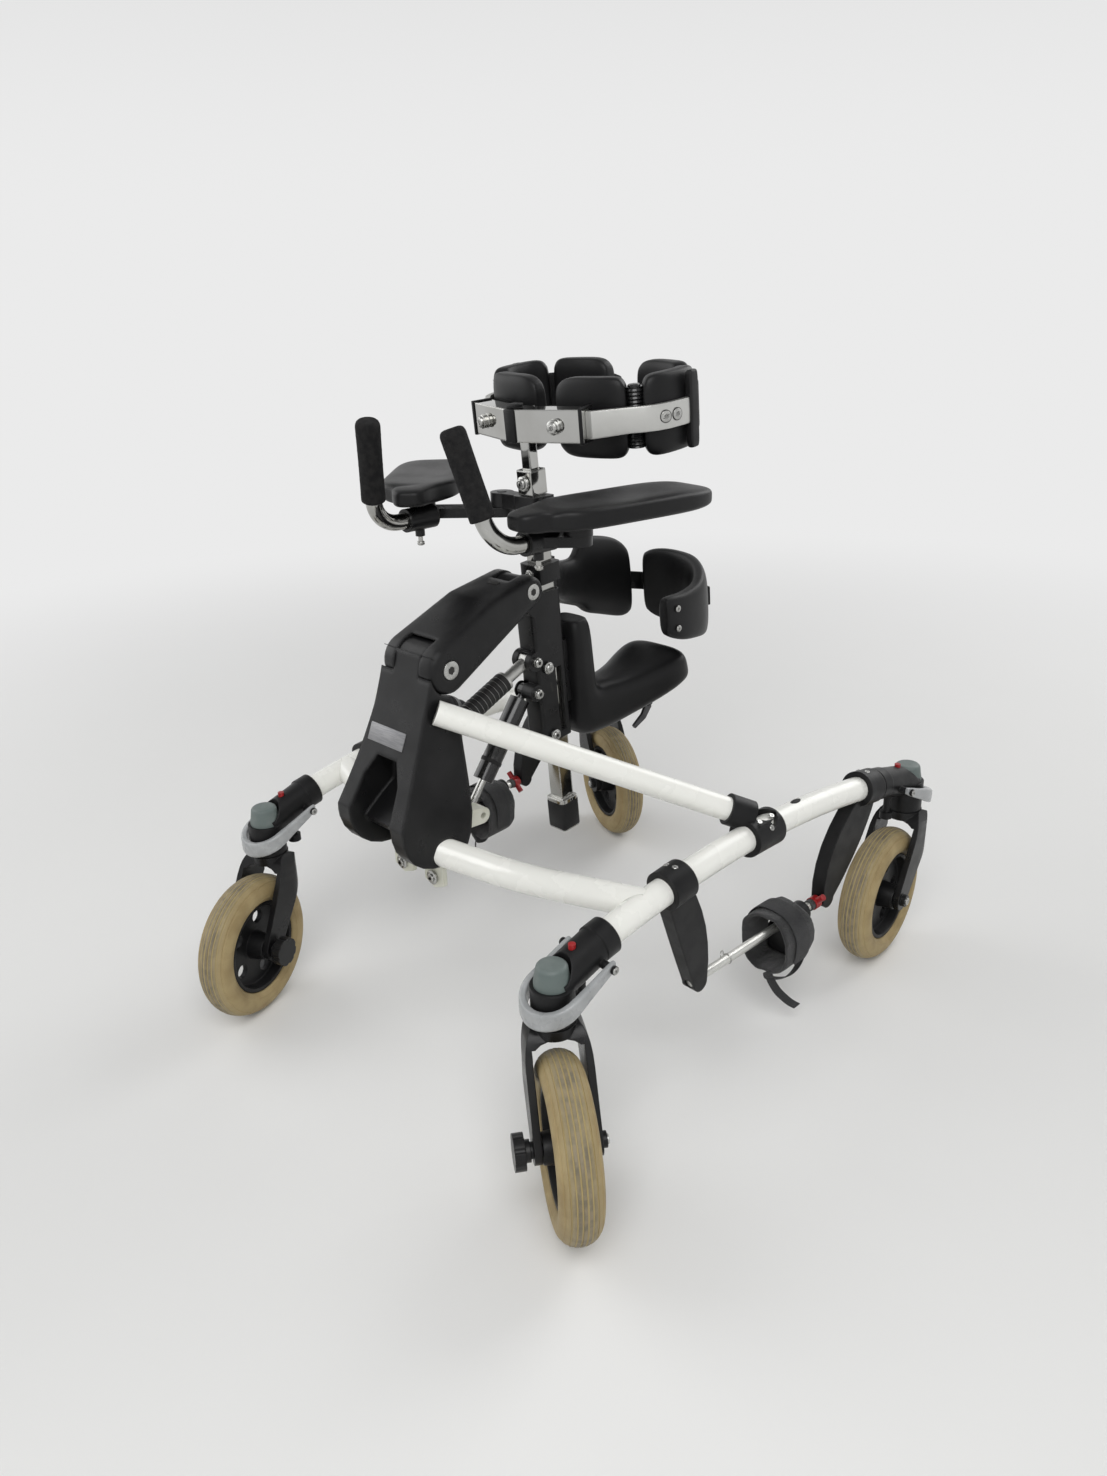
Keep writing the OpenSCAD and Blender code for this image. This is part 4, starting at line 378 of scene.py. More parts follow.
for side in layout["sides"]:
    for finish, part in (("blackEnamel", "arm_carrier"), ("chrome", "handle"), ("satinAlloy", "chest_bar")):
        solidFinish[finish].append(part + "_" + side)
shading = shadingByAngle(26)
for finish, names in solidFinish.items():
    for name in names:
        solids[name].data.materials.clear()
        solids[name].data.materials.append(finishes[finish])
        solids[name].modifiers.new("shading", "NODES").node_group = shading
print("solids dressed")


# making of new pieces
def newPiece(name, bm, place, finish, body, slot, sharp=38):
    bmesh.ops.remove_doubles(bm, verts=bm.verts[:], dist=0.0005)
    bmesh.ops.transform(bm, matrix=place, verts=bm.verts[:])
    bmesh.ops.recalc_face_normals(bm, faces=bm.faces[:])
    mesh = bpy.data.meshes.new(name)
    bm.to_mesh(mesh)
    bm.free()
    mesh.shade_smooth()
    if sharp:
        mesh.set_sharp_from_angle(angle=math.radians(sharp))
    for f in finish if isinstance(finish, list) else [finish]:
        mesh.materials.append(finishes[f])
    piece = bpy.data.objects.new(name, mesh)
    scene.collection.objects.link(piece)
    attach(piece, body)
    return piece


def rounder(piece):
    smooth = piece.modifiers.new("rounding", "SUBSURF")
    smooth.levels = smooth.render_levels = 1
    return piece


def softPiece(name, bm, place, finish, body, slot):  # no sharp edge anywhere
    return rounder(newPiece(name, bm, place, finish, body, slot, sharp=0))


def cushion(name, bm, place, body, solid=None):  # moulded foam with a closed skin
    pad = softPiece(name, bm, place, "skinFoam", body, "black_vinyl")
    if solid:
        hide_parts(solid)


def spun(profile, steps):  # (radius, height) points turned once round Z
    bm = bmesh.new()
    line = [bm.verts.new((r, 0, z)) for r, z in profile]
    edges = [bm.edges.new(pair) for pair in zip(line, line[1:])]
    bmesh.ops.spin(bm, geom=line + edges, cent=(0, 0, 0), axis=(0, 0, 1), angle=math.tau, steps=steps,
                   use_merge=True)
    bmesh.ops.remove_doubles(bm, verts=bm.verts[:], dist=0.001)
    return bm


def block(size, edge, segments=2):
    bm = bmesh.new()
    bmesh.ops.create_cube(bm, size=1)
    bmesh.ops.scale(bm, vec=size, verts=bm.verts[:])
    bmesh.ops.bevel(bm, geom=bm.edges[:], offset=edge, segments=segments, profile=0.5, affect="EDGES",
                    material=-1)
    return bm


def roundOff(x, e):  # height of a rounded square of power e at x
    return (1 - abs(x) ** e) ** (1 / e)


def padAlong(route, look, flat=0.8, even=0.7):  # a cube drawn along a route, with rounded sections and ends
    bm = bmesh.new()
    bmesh.ops.create_cube(bm, size=2)
    bmesh.ops.subdivide_edges(bm, edges=bm.edges[:], cuts=look["cuts"], use_grid_fill=True)
    for v in bm.verts:
        c = v.co.x
        a, b = (math.sin(k * math.pi / 2) for k in v.co.yz)
        if abs(c) > 0.999:  # on an end
            fill = flat * max(abs(a), abs(b))
            share = math.copysign(roundOff(fill, look["ends"]), c)
        else:
            share = (even * c + (1 - even) * math.sin(c * math.pi / 2)) * roundOff(flat, look["ends"])
            fill = roundOff(share, look["ends"])
        lie = math.atan2(b, a)
        x, y = bow(math.cos(lie), 2 / look["square"]), bow(math.sin(lie), 2 / look["square"])
        centre, sideways, upwards = route(share)
        v.co = centre + sideways * (x * fill) + upwards * (y * fill)
        if "press" in look:
            v.co += look["press"](share, x * fill, y * fill)
    return bm


# tyres with ribs and grooves
wheels = {"radius": 79, "half": 21, "halfWidth": 24, "bead": 128, "points": 96, "steps": 96,
          "grooves": [-0.8, -0.57, -0.34, -0.11, 0.11, 0.34, 0.57, 0.8], "grooveHalf": 0.035,
          "grooveDepth": 1.3, "wallRing": (1.85, 1.93), "ringHigh": 0.5, "ribEdge": 0.35, "trail": 63,
          "axle": 100,
          "swivels": {"front_left": (283, 0, 325), "front_right": (-283, 0, 292),
                      "rear_left": (308, 711, 275), "rear_right": (-308, 711, 336)}}


def treadProfile(w):
    points = []
    for k in range(-w["points"], w["points"] + 1):
        a = math.radians(w["bead"] * k / w["points"])
        across = math.sin(a)
        nearest = min(abs(across - g) for g in w["grooves"])
        deep = w["grooveDepth"] * max(0, 1 - nearest / w["grooveHalf"]) if abs(a) < math.pi / 2 else 0
        ring = w["ringHigh"] if w["wallRing"][0] < abs(a) < w["wallRing"][1] else 0
        r = w["half"] - min(deep * 2, w["grooveDepth"]) + ring
        points.append((w["radius"] + r * math.cos(a), (w["halfWidth"] + ring - deep * 0.4) * across))
    return points + [points[0]]


def axleOf(corner):  # the middle of an axle, turned with its fork
    x, y, heading = wheels["swivels"][corner]
    swivel = drawing @ Matrix.Translation((x, y, 0)) @ turn(heading, "Z")
    return swivel @ Matrix.Translation((wheels["trail"], 0, wheels["axle"]))


for corner in wheels["swivels"]:
    bm = spun(treadProfile(wheels), wheels["steps"])
    own = bm.verts.layers.float_vector.new("wheelPlace")
    top = bm.verts.layers.float.new("ribTop")
    for v in bm.verts:
        v[own] = v.co / 1000
        r = math.hypot(math.hypot(v.co.x, v.co.y) - wheels["radius"],
                       v.co.z * wheels["half"] / wheels["halfWidth"])
        v[top] = 1 if r > wheels["half"] - wheels["ribEdge"] else 0
    tyre = newPiece("tyreRibbed_" + corner, bm, axleOf(corner) @ turn(90, "X"), "tanRubber",
                    "wheel_" + corner, "tan_tyre", sharp=50)
    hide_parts("tyre_" + corner)
print("tyres turned")

# brake bails, broad in front where a foot presses them
bails = {"pivot": (0, 54, 270), "long": 59.1, "tilt": 23.96, "mid": 34.05, "past": 6.5, "arm": (3.75, 7.2),
         "front": (4.7, 10.8), "shape": {"cuts": 27, "square": 4.2, "ends": 7}}


def bailRoute(share):
    straight = bails["long"] + bails["past"]
    way = (share + 1) / 2 * (2 * straight + math.pi * bails["mid"])
    a = max(0, min(math.pi, (way - straight) / bails["mid"]))
    ahead = min(way, straight, 2 * straight + math.pi * bails["mid"] - way) - bails["past"]
    out = Vector((math.cos(a), -math.sin(a), 0))
    flat = Vector((0, -ahead, 0)) + out * bails["mid"]
    near = max(0, ahead / bails["long"]) ** 2
    thick, high = (bails["arm"][k] + (bails["front"][k] - bails["arm"][k]) * near for k in (0, 1))
    return Vector(bails["pivot"]) + turn(bails["tilt"], "X") @ flat, out * thick, Vector((0, 0, high))


def cornerRail(corner):  # the end of a side rail, with the swivel axis at its origin
    x, y = wheels["swivels"][corner][:2]
    at = sideOf(int(x < 0)) @ Matrix.Translation((abs(x), y, 0)) @ turn(-layout["railTurn"], "Z")
    return at @ Matrix.Scale(-1, 4, (0, 1, 0)) if y > 0 else at


for corner in wheels["swivels"]:
    bail = softPiece("bailLever_" + corner, padAlong(bailRoute, bails["shape"]), cornerRail(corner),
                     "greyLever", "bail_" + corner, "grey_plastic")
    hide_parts("bail_" + corner)
print("bails made")

# chest pads, a ring of moulded foam, with a webbing band behind and a keeper over the end of each bar
chest = {"z": 511, "halfW": 130, "halfD": 70, "midY": 114, "square": 0.72, "thick": 13.0, "half": 47,
         "fill": 0.9, "side": (-27, 32), "back": (38, 84), "front": (-87, -40),
         "shape": {"cuts": 17, "square": 4.4, "ends": 6.0}}
chestBand = {"span": (12, 86), "thick": 1.5, "half": 27, "out": chest["thick"] + 1.6,
             "shape": {"cuts": 9, "square": 8, "ends": 12}}
chestKeeper = {"span": (2.5, 10), "thick": 4.6, "half": 45, "out": 18.6,
               "shape": {"cuts": 11, "square": 7, "ends": 9}}
chestHinge = {"between": (-27, -40), "radius": 10.4, "groove": 1.3, "high": 70, "gap": 0.3, "steps": 32,
              "knuckles": (0, 0.32, 0.68, 1), "ribs": (5, 6, 5), "leaf": 5, "leafEdge": 1.2,
              "sideReach": 0.6, "frontReach": 1.25,
              "pin": [(0.01, 34.6), (7.6, 34.6), (7.6, 36), (6.2, 37.4), (0.01, 38)], "pinSteps": 24}


def chestRing(a, out=0.0):
    a = math.radians(a)
    return Vector(((chest["halfW"] + out) * bow(math.cos(a), chest["square"]),
                   chest["midY"] + (chest["halfD"] + out) * bow(math.sin(a), chest["square"]), chest["z"]))


def chestOut(a):
    a = math.radians(a)
    return Vector((math.cos(a) / chest["halfW"], math.sin(a) / chest["halfD"], 0)).normalized()


def alongChest(part, span, out=0.0):
    def route(share):
        a = (span[0] + span[1]) / 2 + share * (span[1] - span[0]) / 2
        return chestRing(a, out), chestOut(a) * part["thick"], Vector((0, 0, part["half"]))
    return padAlong(route, part["shape"])


def hingeOf(i, side, body, frontBody):  # three ribbed knuckles with their leaves, and a pin
    h = chestHinge
    middle = (chestRing(h["between"][0]) + chestRing(h["between"][1])) / 2
    place = leaned(i) @ Matrix.Translation(middle)
    for k, (low, high) in enumerate(zip(h["knuckles"], h["knuckles"][1:])):
        rides = frontBody if k == 1 else body
        foot = (low - 0.5) * h["high"] + h["gap"]
        tall = (high - low) * h["high"] - 2 * h["gap"]
        rows = 2 * h["ribs"][k]
        ribs = [(h["radius"] - h["groove"] * (j % 2), foot + tall * j / rows) for j in range(rows + 1)]
        knuckle = spun([(0.01, foot)] + ribs + [(0.01, foot + tall)], h["steps"])
        newPiece("chestHinge%d_%s" % (k, side), knuckle, place, "springBlack", rides, "black_plastic",
                 sharp=50)
        reach = chest["front"][1] * h["frontReach"] if k == 1 else chest["side"][0] * h["sideReach"]
        toward = chestRing(reach) - middle
        leaf = block((toward.length, h["leaf"], tall), h["leafEdge"])
        half = Matrix.Translation(toward / 2 + Vector((0, 0, foot + tall / 2)))
        aim = turn(math.degrees(math.atan2(toward.y, toward.x)), "Z")
        newPiece("chestHingeLeaf%d_%s" % (k, side), leaf, place @ half @ aim, "blackMoulding", rides,
                 "black_plastic")
    newPiece("chestHingePin_" + side, spun(h["pin"], h["pinSteps"]), place, "springBlack", body,
             "black_plastic")


for i, side in enumerate(layout["sides"]):
    body, frontBody = "chest_side_" + side, "chest_front_" + side
    for name, span, rides, solid in (("chestSidePad_", "side", body, "chest_pad_" + side),
                                     ("chestRearPad_", "back", body, None),
                                     ("chestFrontPad_", "front", frontBody, "chest_front_pad_" + side)):
        cushion(name + side, alongChest(chest, chest[span]), leaned(i), rides, solid)
    (start, end), out = chestBand["span"], chestBand["out"]
    band = softPiece("chestBand_" + side, alongChest(chestBand, (start, end), out), leaned(i), "webbing",
                     body, "black_vinyl")
    bandLong = lengthOf(lambda s: chestRing(start + (end - start) * s, out))
    softPiece("chestBarKeeper_" + side, alongChest(chestKeeper, chestKeeper["span"], chestKeeper["out"]),
              leaned(i), "blackMoulding", body, "black_plastic")
    hingeOf(i, side, body, frontBody)
print("chest pads made")

# forearm pads
forearm = {"pivot": (138, 204.49, 697), "turns": (9, 43), "length": 266, "nose": 90, "halfW": 52,
           "halfT": 13.8, "middle": 13.8, "fill": 0.85,
           "rows": [[0, -0.36, 0.50], [0.05, -0.40, 0.54], [0.10, -0.45, 0.55], [0.135, -0.50, 0.53],
                    [0.16, -0.55, 0.62], [0.185, -0.63, 0.78], [0.22, -0.74, 0.87],
                    [0.27, -0.87, 0.94], [0.33, -0.96, 0.98], [0.42, -1, 1], [0.84, -1, 1], [1, -0.94, 0.94]],
           "dish": 3.2, "crease": 0.145, "creaseDeep": 4.0, "creaseHalf": 0.022,
           "boss": [(0.01, -23), (7.5, -23), (8.9, -21.6), (8.9, 1), (0.01, 1)], "bossSteps": 32,
           "plate": (46, 150, 2.4), "plateEdge": 1.0, "plateAt": (0, 70, 0.4)}


def forearmRoute(share):
    s = (share + 1) / 2
    low, high = next((a, b) for a, b in zip(forearm["rows"], forearm["rows"][1:]) if s <= b[0] + 1e-6)
    f = (s - low[0]) / (high[0] - low[0])
    inner, outer = (low[k] + (high[k] - low[k]) * f for k in (1, 2))
    across, along = (inner + outer) / 2 * forearm["halfW"], s * forearm["length"] - forearm["nose"]
    centre = Vector((across, along, forearm["middle"]))
    return centre, Vector(((outer - inner) / 2 * forearm["halfW"], 0, 0)), Vector((0, 0, forearm["halfT"]))


def forearmDish(share, x, y):  # a shallow trough along the top, with a pinched crease behind the nose
    trough = -forearm["dish"] * max(0, y) * (1 - x * x) * max(0, 1 - share * share)
    near = math.exp(-(((share + 1) / 2 - forearm["crease"]) / forearm["creaseHalf"]) ** 2)
    crease = -forearm["creaseDeep"] * near * max(0, y) * max(0, x + 0.3)
    return Vector((0, 0, trough + crease))


forearmShape = {"cuts": 33, "square": 4.2, "ends": 5.0, "press": forearmDish}
for i, side in enumerate(layout["sides"]):
    place = sideOf(i) @ Matrix.Translation(forearm["pivot"]) @ turn(-forearm["turns"][i], "Z")
    body = "forearm_rest_" + side
    cushion("forearmCushion_" + side, padAlong(forearmRoute, forearmShape), place, body,
            "forearm_pad_" + side)
    newPiece("forearmBoss_" + side, spun(forearm["boss"], forearm["bossSteps"]), place, "blackEnamel", body,
             "black_metal")
    newPiece("forearmPlate_" + side, block(forearm["plate"], forearm["plateEdge"]),
             place @ Matrix.Translation(forearm["plateAt"]), "blackEnamel", body, "black_metal")
print("forearm pads made")

# saddle, an upright front and a seat behind
saddle = {"front": 23, "foot": 76, "long": 207, "high": 175, "halfT": 19.25, "frontW": 60, "rearW": 116,
          "fill": 0.9,
          "rows": [[0, 1.0, 0.105, 0], [0, 0.86, 0.108, 0], [0, 0.70, 0.11, 0], [0.004, 0.53, 0.115, 0],
                   [0.018, 0.37, 0.135, 0], [0.07, 0.25, 0.215, 0.02], [0.22, 0.205, 0.20, 0.08],
                   [0.40, 0.205, 0.185, 0.25], [0.58, 0.223, 0.175, 0.53], [0.74, 0.255, 0.172, 0.82],
                   [0.89, 0.29, 0.165, 1.0], [1.0, 0.315, 0.15, 0.97]],
          "underSlope": 0.12, "heel": 0.9, "fillet": 14, "corner": (62.2, 147), "turn": (0.298, 0.52),
          "lug": (12, 11, 20), "lugEdge": 2, "lugAt": (18, 170, 88.5)}


def saddleMiddle(s):
    back, up, thick, wide = smoothRow(saddle["rows"], s)
    return Vector((0, saddle["front"] + saddle["halfT"] + back * (saddle["long"] - saddle["halfT"]),
                   saddle["foot"] + up * saddle["high"])), thick, wide


def saddleRoute(share):
    s = (share + 1) / 2
    centre, thick, wide = saddleMiddle(s)
    ahead = (saddleMiddle(min(1, s + 0.02))[0] - saddleMiddle(max(0, s - 0.02))[0]).normalized()
    across = (saddle["frontW"] * (1 - wide) + saddle["rearW"] * wide) / 2
    return centre, Vector((across, 0, 0)), ahead.cross(Vector((1, 0, 0))) * thick * saddle["high"]


def saddleCorners(share, x, y):  # a square heel beside the mast, and a round hollow between upright and seat
    centre, outward = saddleRoute(share)[::2]
    start, end = saddle["turn"]
    turned = ((share + 1) / 2 - start) / (end - start)
    if y < 0 and 0 < turned < 1:
        a, radius = math.radians(180 + 90 * turned), saddle["fillet"]
        hollow = Vector((0, saddle["corner"][0] + radius * (1 + math.cos(a)),
                         saddle["corner"][1] + radius * (1 + math.sin(a))))
        return -y * (hollow - centre + outward)
    under = saddle["foot"] + saddle["underSlope"] * (centre.y - saddle["front"])
    room = [(saddle["front"] - centre.y) / outward.y] if outward.y < -1 else []
    room += [(under - centre.z) / outward.z] if outward.z < -1 else []
    grow = max(0, min(room) - 1) if room and y > 0 else 0
    return outward * y * grow * saddle["heel"]


saddleShape = {"cuts": 27, "square": 3.4, "ends": 8, "press": saddleCorners}
cushion("saddleCushion", padAlong(saddleRoute, saddleShape), leaned(), "saddle", "saddle")
newPiece("saddleLug", block(saddle["lug"], saddle["lugEdge"]), leaned() @ Matrix.Translation(saddle["lugAt"]),
         "blackEnamel", "saddle", "black_metal")
print("saddle made")

# pelvic pads on their strap
pelvic = {"halfW": 118, "long": 313, "z": 290, "fall": 0.26, "off": 14.35, "thick": 12, "high": 60,
          "fill": 0.9,
          "ring": [[-0.15, 0.085], [-0.50, 0.17], [-0.89, 0.37], [-0.96, 0.62], [-0.93, 0.81], [-0.76, 0.94],
                   [-0.34, 1.00], [0.08, 0.98], [0.42, 0.895], [0.66, 0.77], [0.74, 0.62], [0.73, 0.48]],
          "right": [[0.9, 0.40, 0.10], [1.4, 0.45, 0.07], [1.9, 0.52, 0.02], [2.4, 0.58, -0.01],
                    [2.58, 0.70, 0.05], [2.74, 0.93, 0.14], [3.1, 1.0, 0.15], [3.6, 1.035, 0.115],
                    [4.0, 1.04, 0.08], [4.42, 1.005, 0.055]],
          "rear": [[5.08, 0.92, 0.08], [5.7, 0.95, 0.08], [6.4, 0.94, 0.07], [7.2, 0.92, 0.03],
                   [8, 0.86, -0.08], [8.7, 0.74, -0.16], [9.4, 0.64, -0.27], [10.2, 0.58, -0.37],
                   [11, 0.55, -0.36]],
          "shape": {"cuts": 21, "square": 3.2, "ends": 5.5}}
pelvicEnd = len(pelvic["ring"]) - 1


def pelvicPoint(u, up=0.0):
    x, y = smoothRow(pelvic["ring"], u / pelvicEnd)
    return Vector((x * pelvic["halfW"], y * pelvic["long"],
                   pelvic["z"] + up - pelvic["fall"] * y * pelvic["long"]))


def pelvicOut(u):
    ahead = pelvicPoint(min(u + 0.4, pelvicEnd)) - pelvicPoint(max(u - 0.4, 0))
    return Vector((-ahead.y, ahead.x, 0)).normalized()


def pelvicRoute(rows):
    def route(share):
        u, high, rise = smoothRow(rows, (share + 1) / 2)
        out = pelvicOut(u)
        return (pelvicPoint(u, rise * pelvic["high"]) - out * pelvic["off"], out * pelvic["thick"],
                Vector((0, 0, high * pelvic["high"])))
    return route


for name, rows, solid in (("pelvicSidePad", "right", "pelvic_pads"), ("pelvicRearPad", "rear", None)):
    cushion(name, padAlong(pelvicRoute(pelvic[rows]), pelvic["shape"]), leaned(), "pelvic_support",
            solid)
print("pelvic pads made")

# foam grips, slightly waisted, with faint rings where the foam was pushed on
grips = {"radius": 14.5, "long": 100, "waist": 0.35, "ring": 0.16, "ringRows": (4, 13, 22, 31, 40),
         "rows": 45, "straight": 91.2, "steps": 40,
         "socket": (106, 172.49, 680), "toBend": (0, -67, 0), "toTop": (-33, -89, 129),
         "mouth": [(10.2, 0.0), (13.4, 0.0), (14.3, 0.8)],
         "end": [(14.2, 94.5), (13.0, 97.4), (11.0, 99.2), (8.0, 100.0), (0.01, 100.0)]}
gripTop = Vector(grips["socket"]) + Vector(grips["toTop"])
gripLine = (gripTop - Vector(grips["socket"]) - Vector(grips["toBend"])).normalized()
gripProfile = grips["mouth"][:]
for k in range(1, grips["rows"] + 1):
    ring = grips["ring"] if k in grips["ringRows"] else 0
    gripProfile.append((grips["radius"] - grips["waist"] * math.sin(math.pi * k / grips["rows"]) + ring,
                        grips["mouth"][-1][1] + grips["straight"] * k / grips["rows"]))
for i, side in enumerate(layout["sides"]):
    grip = newPiece("gripFoam_" + side, spun(gripProfile + grips["end"], grips["steps"]),
                    sideOf(i) @ facing(gripTop - gripLine * grips["long"], gripLine), "gripFoam",
                    "handle_" + side, "foam", sharp=60)
    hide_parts("grip_" + side)
print("grips made")

# ankle cuffs, closed round the guide rods, with their straps
cuff = {"x": -6, "y": 415, "z": 126, "wide": 35, "tall": 41, "square": 0.86, "thick": 3.6, "half": 31,
        "lap": 8, "shape": {"cuts": 21, "square": 3.2, "ends": 9}, "fill": 0.5,
        "swell": {"voxel": 0.003, "pressure": 3.0, "stiffness": 25, "frames": 12, "cap": 0.0016},
        "strap": {"wide": 30, "span": 115, "thick": 0.9, "off": 2.6,
                  "shape": {"cuts": 25, "square": 8, "ends": 20}},
        "sleeve": [(6.4, -11.2), (13.4, -11.2), (15, -9.6), (15, 9.6), (13.4, 11.2), (6.4, 11.2),
                   (6.4, -11.2)],
        "sleeveY": 451,
        "hanger": (48, 34, 44), "hangerEdge": 8, "hangerAt": (-5, 437, 116)}
cuffWeb = {"thick": 0.0014,  # a slack loop under the cuff and the strap's loose tail
           "cuffLoop_": {"wide": 16, "across": (0.75, 0, 0.66),
                         "rows": [[0, 387, 86], [2, 391, 75], [9, 416, 66], [14, 430, 72], [17, 438, 85],
                                  [18, 440, 96]]},
           "cuffTail_": {"wide": 12, "across": (0.5, 0.5, 0.7),
                         "rows": [[0, 391, 80], [4, 394, 68], [11, 398, 55], [17, 405, 44], [23, 413, 34],
                                  [29, 421, 27]]}}
rodZ = 148


def cuffAngle(share, span=None):  # once round the rod from below, lapped there
    return math.radians(90 + share * (span or 180 + cuff["lap"] / 2))


def cuffRoute(share, grow=0.0, thick=None, half=None, span=None):
    a = cuffAngle(share, span)
    wave = 0.6 * math.sin(3.1 * a + 0.6) + 0.4 * math.sin(7.3 * a)  # slightly uneven, as sewn padding is
    out = Vector((math.cos(a), 0, math.sin(a)))
    at = Vector((cuff["x"] + bow(out.x, cuff["square"]) * (cuff["wide"] + grow + wave), cuff["y"],
                 cuff["z"] + bow(out.z, cuff["square"]) * (cuff["tall"] + grow + wave)))
    return at, out * (thick or cuff["thick"]), Vector((0, half or cuff["half"], 0))


def cuffFlare(share, x, y):  # both rims stand out a little and aren't quite even
    a = cuffAngle(share)
    out = 1.6 * y * y + 0.9 * y * math.sin(4.3 * a) + 0.5 * math.sin(9.1 * a + 2.2 * y)
    return Vector((math.cos(a) * out, 1.4 * y * math.sin(2.7 * a + 0.8), math.sin(a) * out))


def strapAlong(web):  # a flat strap that follows rows of points
    bm = bmesh.new()
    bmesh.ops.create_grid(bm, x_segments=4, y_segments=28, size=0.5)
    for v in bm.verts:
        across = Vector(web["across"]).normalized() * v.co.x * web["wide"]
        v.co = Vector(smoothRow(web["rows"], v.co.y + 0.5)) + across
    return bm


def puffed(piece, swell):  # cloth blown up a little, then set as the mesh
    remesh = piece.modifiers.new("even", "REMESH")
    remesh.mode, remesh.voxel_size = "VOXEL", swell["voxel"]
    cloth = piece.modifiers.new("cloth", "CLOTH")
    cloth.settings.use_pressure = True
    cloth.settings.uniform_pressure_force = swell["pressure"]
    cloth.settings.effector_weights.gravity = 0
    cloth.settings.tension_stiffness = cloth.settings.compression_stiffness = swell["stiffness"]
    for number in range(1, swell["frames"] + 1):
        scene.frame_set(number)
    seen = piece.evaluated_get(bpy.context.evaluated_depsgraph_get())
    blown = bpy.data.meshes.new_from_object(seen)
    piece.modifiers.remove(cloth)
    start = bpy.data.meshes.new_from_object(piece.evaluated_get(bpy.context.evaluated_depsgraph_get()))
    piece.modifiers.remove(remesh)
    for v, w in zip(blown.vertices, start.vertices):
        step = v.co - w.co
        if step.length > swell["cap"]:
            v.co = w.co + step.normalized() * swell["cap"]
    piece.data = blown
    blown.shade_smooth()
    scene.frame_set(1)


def strapRoute(share):
    strap = cuff["strap"]
    return cuffRoute(share, cuff["thick"] + strap["off"], strap["thick"], strap["wide"] / 2, strap["span"])


def onRod(i, y):
    return alongRail(i) @ facing((0, y, rodZ), (0, 1, 0))


for i, side in enumerate(layout["sides"]):
    body, on = "ankle_cuff_" + side, ["cuffWrap_" + side]
    wrap = newPiece("cuffWrap_" + side, padAlong(cuffRoute, dict(cuff["shape"], press=cuffFlare)),
                    alongRail(i), "cuffCloth", body, "cuff_cloth", sharp=0)
    puffed(wrap, cuff["swell"])
    rounder(wrap)
    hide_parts("ankle_cuff_" + side)
    strap = softPiece("cuffStrap_" + side, padAlong(strapRoute, cuff["strap"]["shape"]), alongRail(i),
                      "webbing", body, "cuff_cloth")
    lengthOf(lambda s: strapRoute(2 * s - 1)[0])
    for name in ("cuffLoop_", "cuffTail_"):
        web = cuffWeb[name]
        hang = newPiece(name + side, strapAlong(web), alongRail(i), "webbing", body, "cuff_cloth", sharp=0)
        thickness = hang.modifiers.new("thickness", "SOLIDIFY")
        thickness.thickness, thickness.offset = cuffWeb["thick"], 0
        rounder(hang)
        lengthOf(lambda s: Vector(smoothRow(web["rows"], s)))
    newPiece("cuffSleeve_" + side, spun(cuff["sleeve"], 40), onRod(i, cuff["sleeveY"]), "blackMoulding", body,
             "black_plastic")
    newPiece("cuffHanger_" + side, block(cuff["hanger"], cuff["hangerEdge"], 3),
             alongRail(i) @ Matrix.Translation(cuff["hangerAt"]), "blackMoulding", body, "black_plastic")
print("cuffs made")

# screws with hexagon sockets
screws = {"hexShare": 0.48, "chamfer": 0.14, "dropShare": 0.3, "deepShare": 0.6, "sides": 28, "bore": 0.6,
          "washer": (0.9, 1.2), "washerEdge": 0.4}


def drawnOut(bm, edges):  # a copy of some edges, joined to them by faces
    new = bmesh.ops.extrude_edge_only(bm, edges=edges)["geom"]
    verts = [g for g in new if isinstance(g, bmesh.types.BMVert)]
    return verts, [g for g in new if isinstance(g, bmesh.types.BMEdge) and all(v in verts for v in g.verts)]


def socketHead(radius, height):
    bm = bmesh.new()
    deep, cut = height * screws["deepShare"], radius * screws["chamfer"]
    floor = bmesh.ops.create_circle(bm, cap_ends=True, segments=6,
                                    radius=radius * screws["hexShare"])["verts"]
    bmesh.ops.translate(bm, vec=(0, 0, height - deep), verts=floor)
    raised, rim = drawnOut(bm, bm.edges[:])
    bmesh.ops.translate(bm, vec=(0, 0, deep), verts=raised)
    ring = bmesh.ops.create_circle(bm, segments=screws["sides"], radius=radius - cut)["verts"]
    bmesh.ops.translate(bm, vec=(0, 0, height), verts=ring)
    edges = list({e for v in ring for e in v.link_edges})
    bmesh.ops.bridge_loops(bm, edges=rim + edges)
    for grow, drop in ((radius / (radius - cut), min(cut, height * screws["dropShare"])), (1.0, None)):
        ring, edges = drawnOut(bm, edges)
        for v in ring:
            v.co.x, v.co.y = v.co.x * grow, v.co.y * grow
            v.co.z = 0 if drop is None else v.co.z - drop
    for f in bm.faces:
        f.material_index = 1 if f.calc_center_median().z < height - deep + 1e-3 and len(f.verts) == 6 else 0
    return bm


def screw(name, place, body, radius, height, finish="zincSteel", washer=0.0):
    newPiece(name, socketHead(radius, height), place, [finish, "socketShadow"], body, "steel", sharp=30)
    if washer:
        bore, (side, top) = radius * screws["bore"], screws["washer"]
        ring = [(bore, 0), (washer, 0), (washer, side), (washer - screws["washerEdge"], top), (bore, top)]
        newPiece(name + "Washer", spun(ring, 32), place, finish, body, "steel")


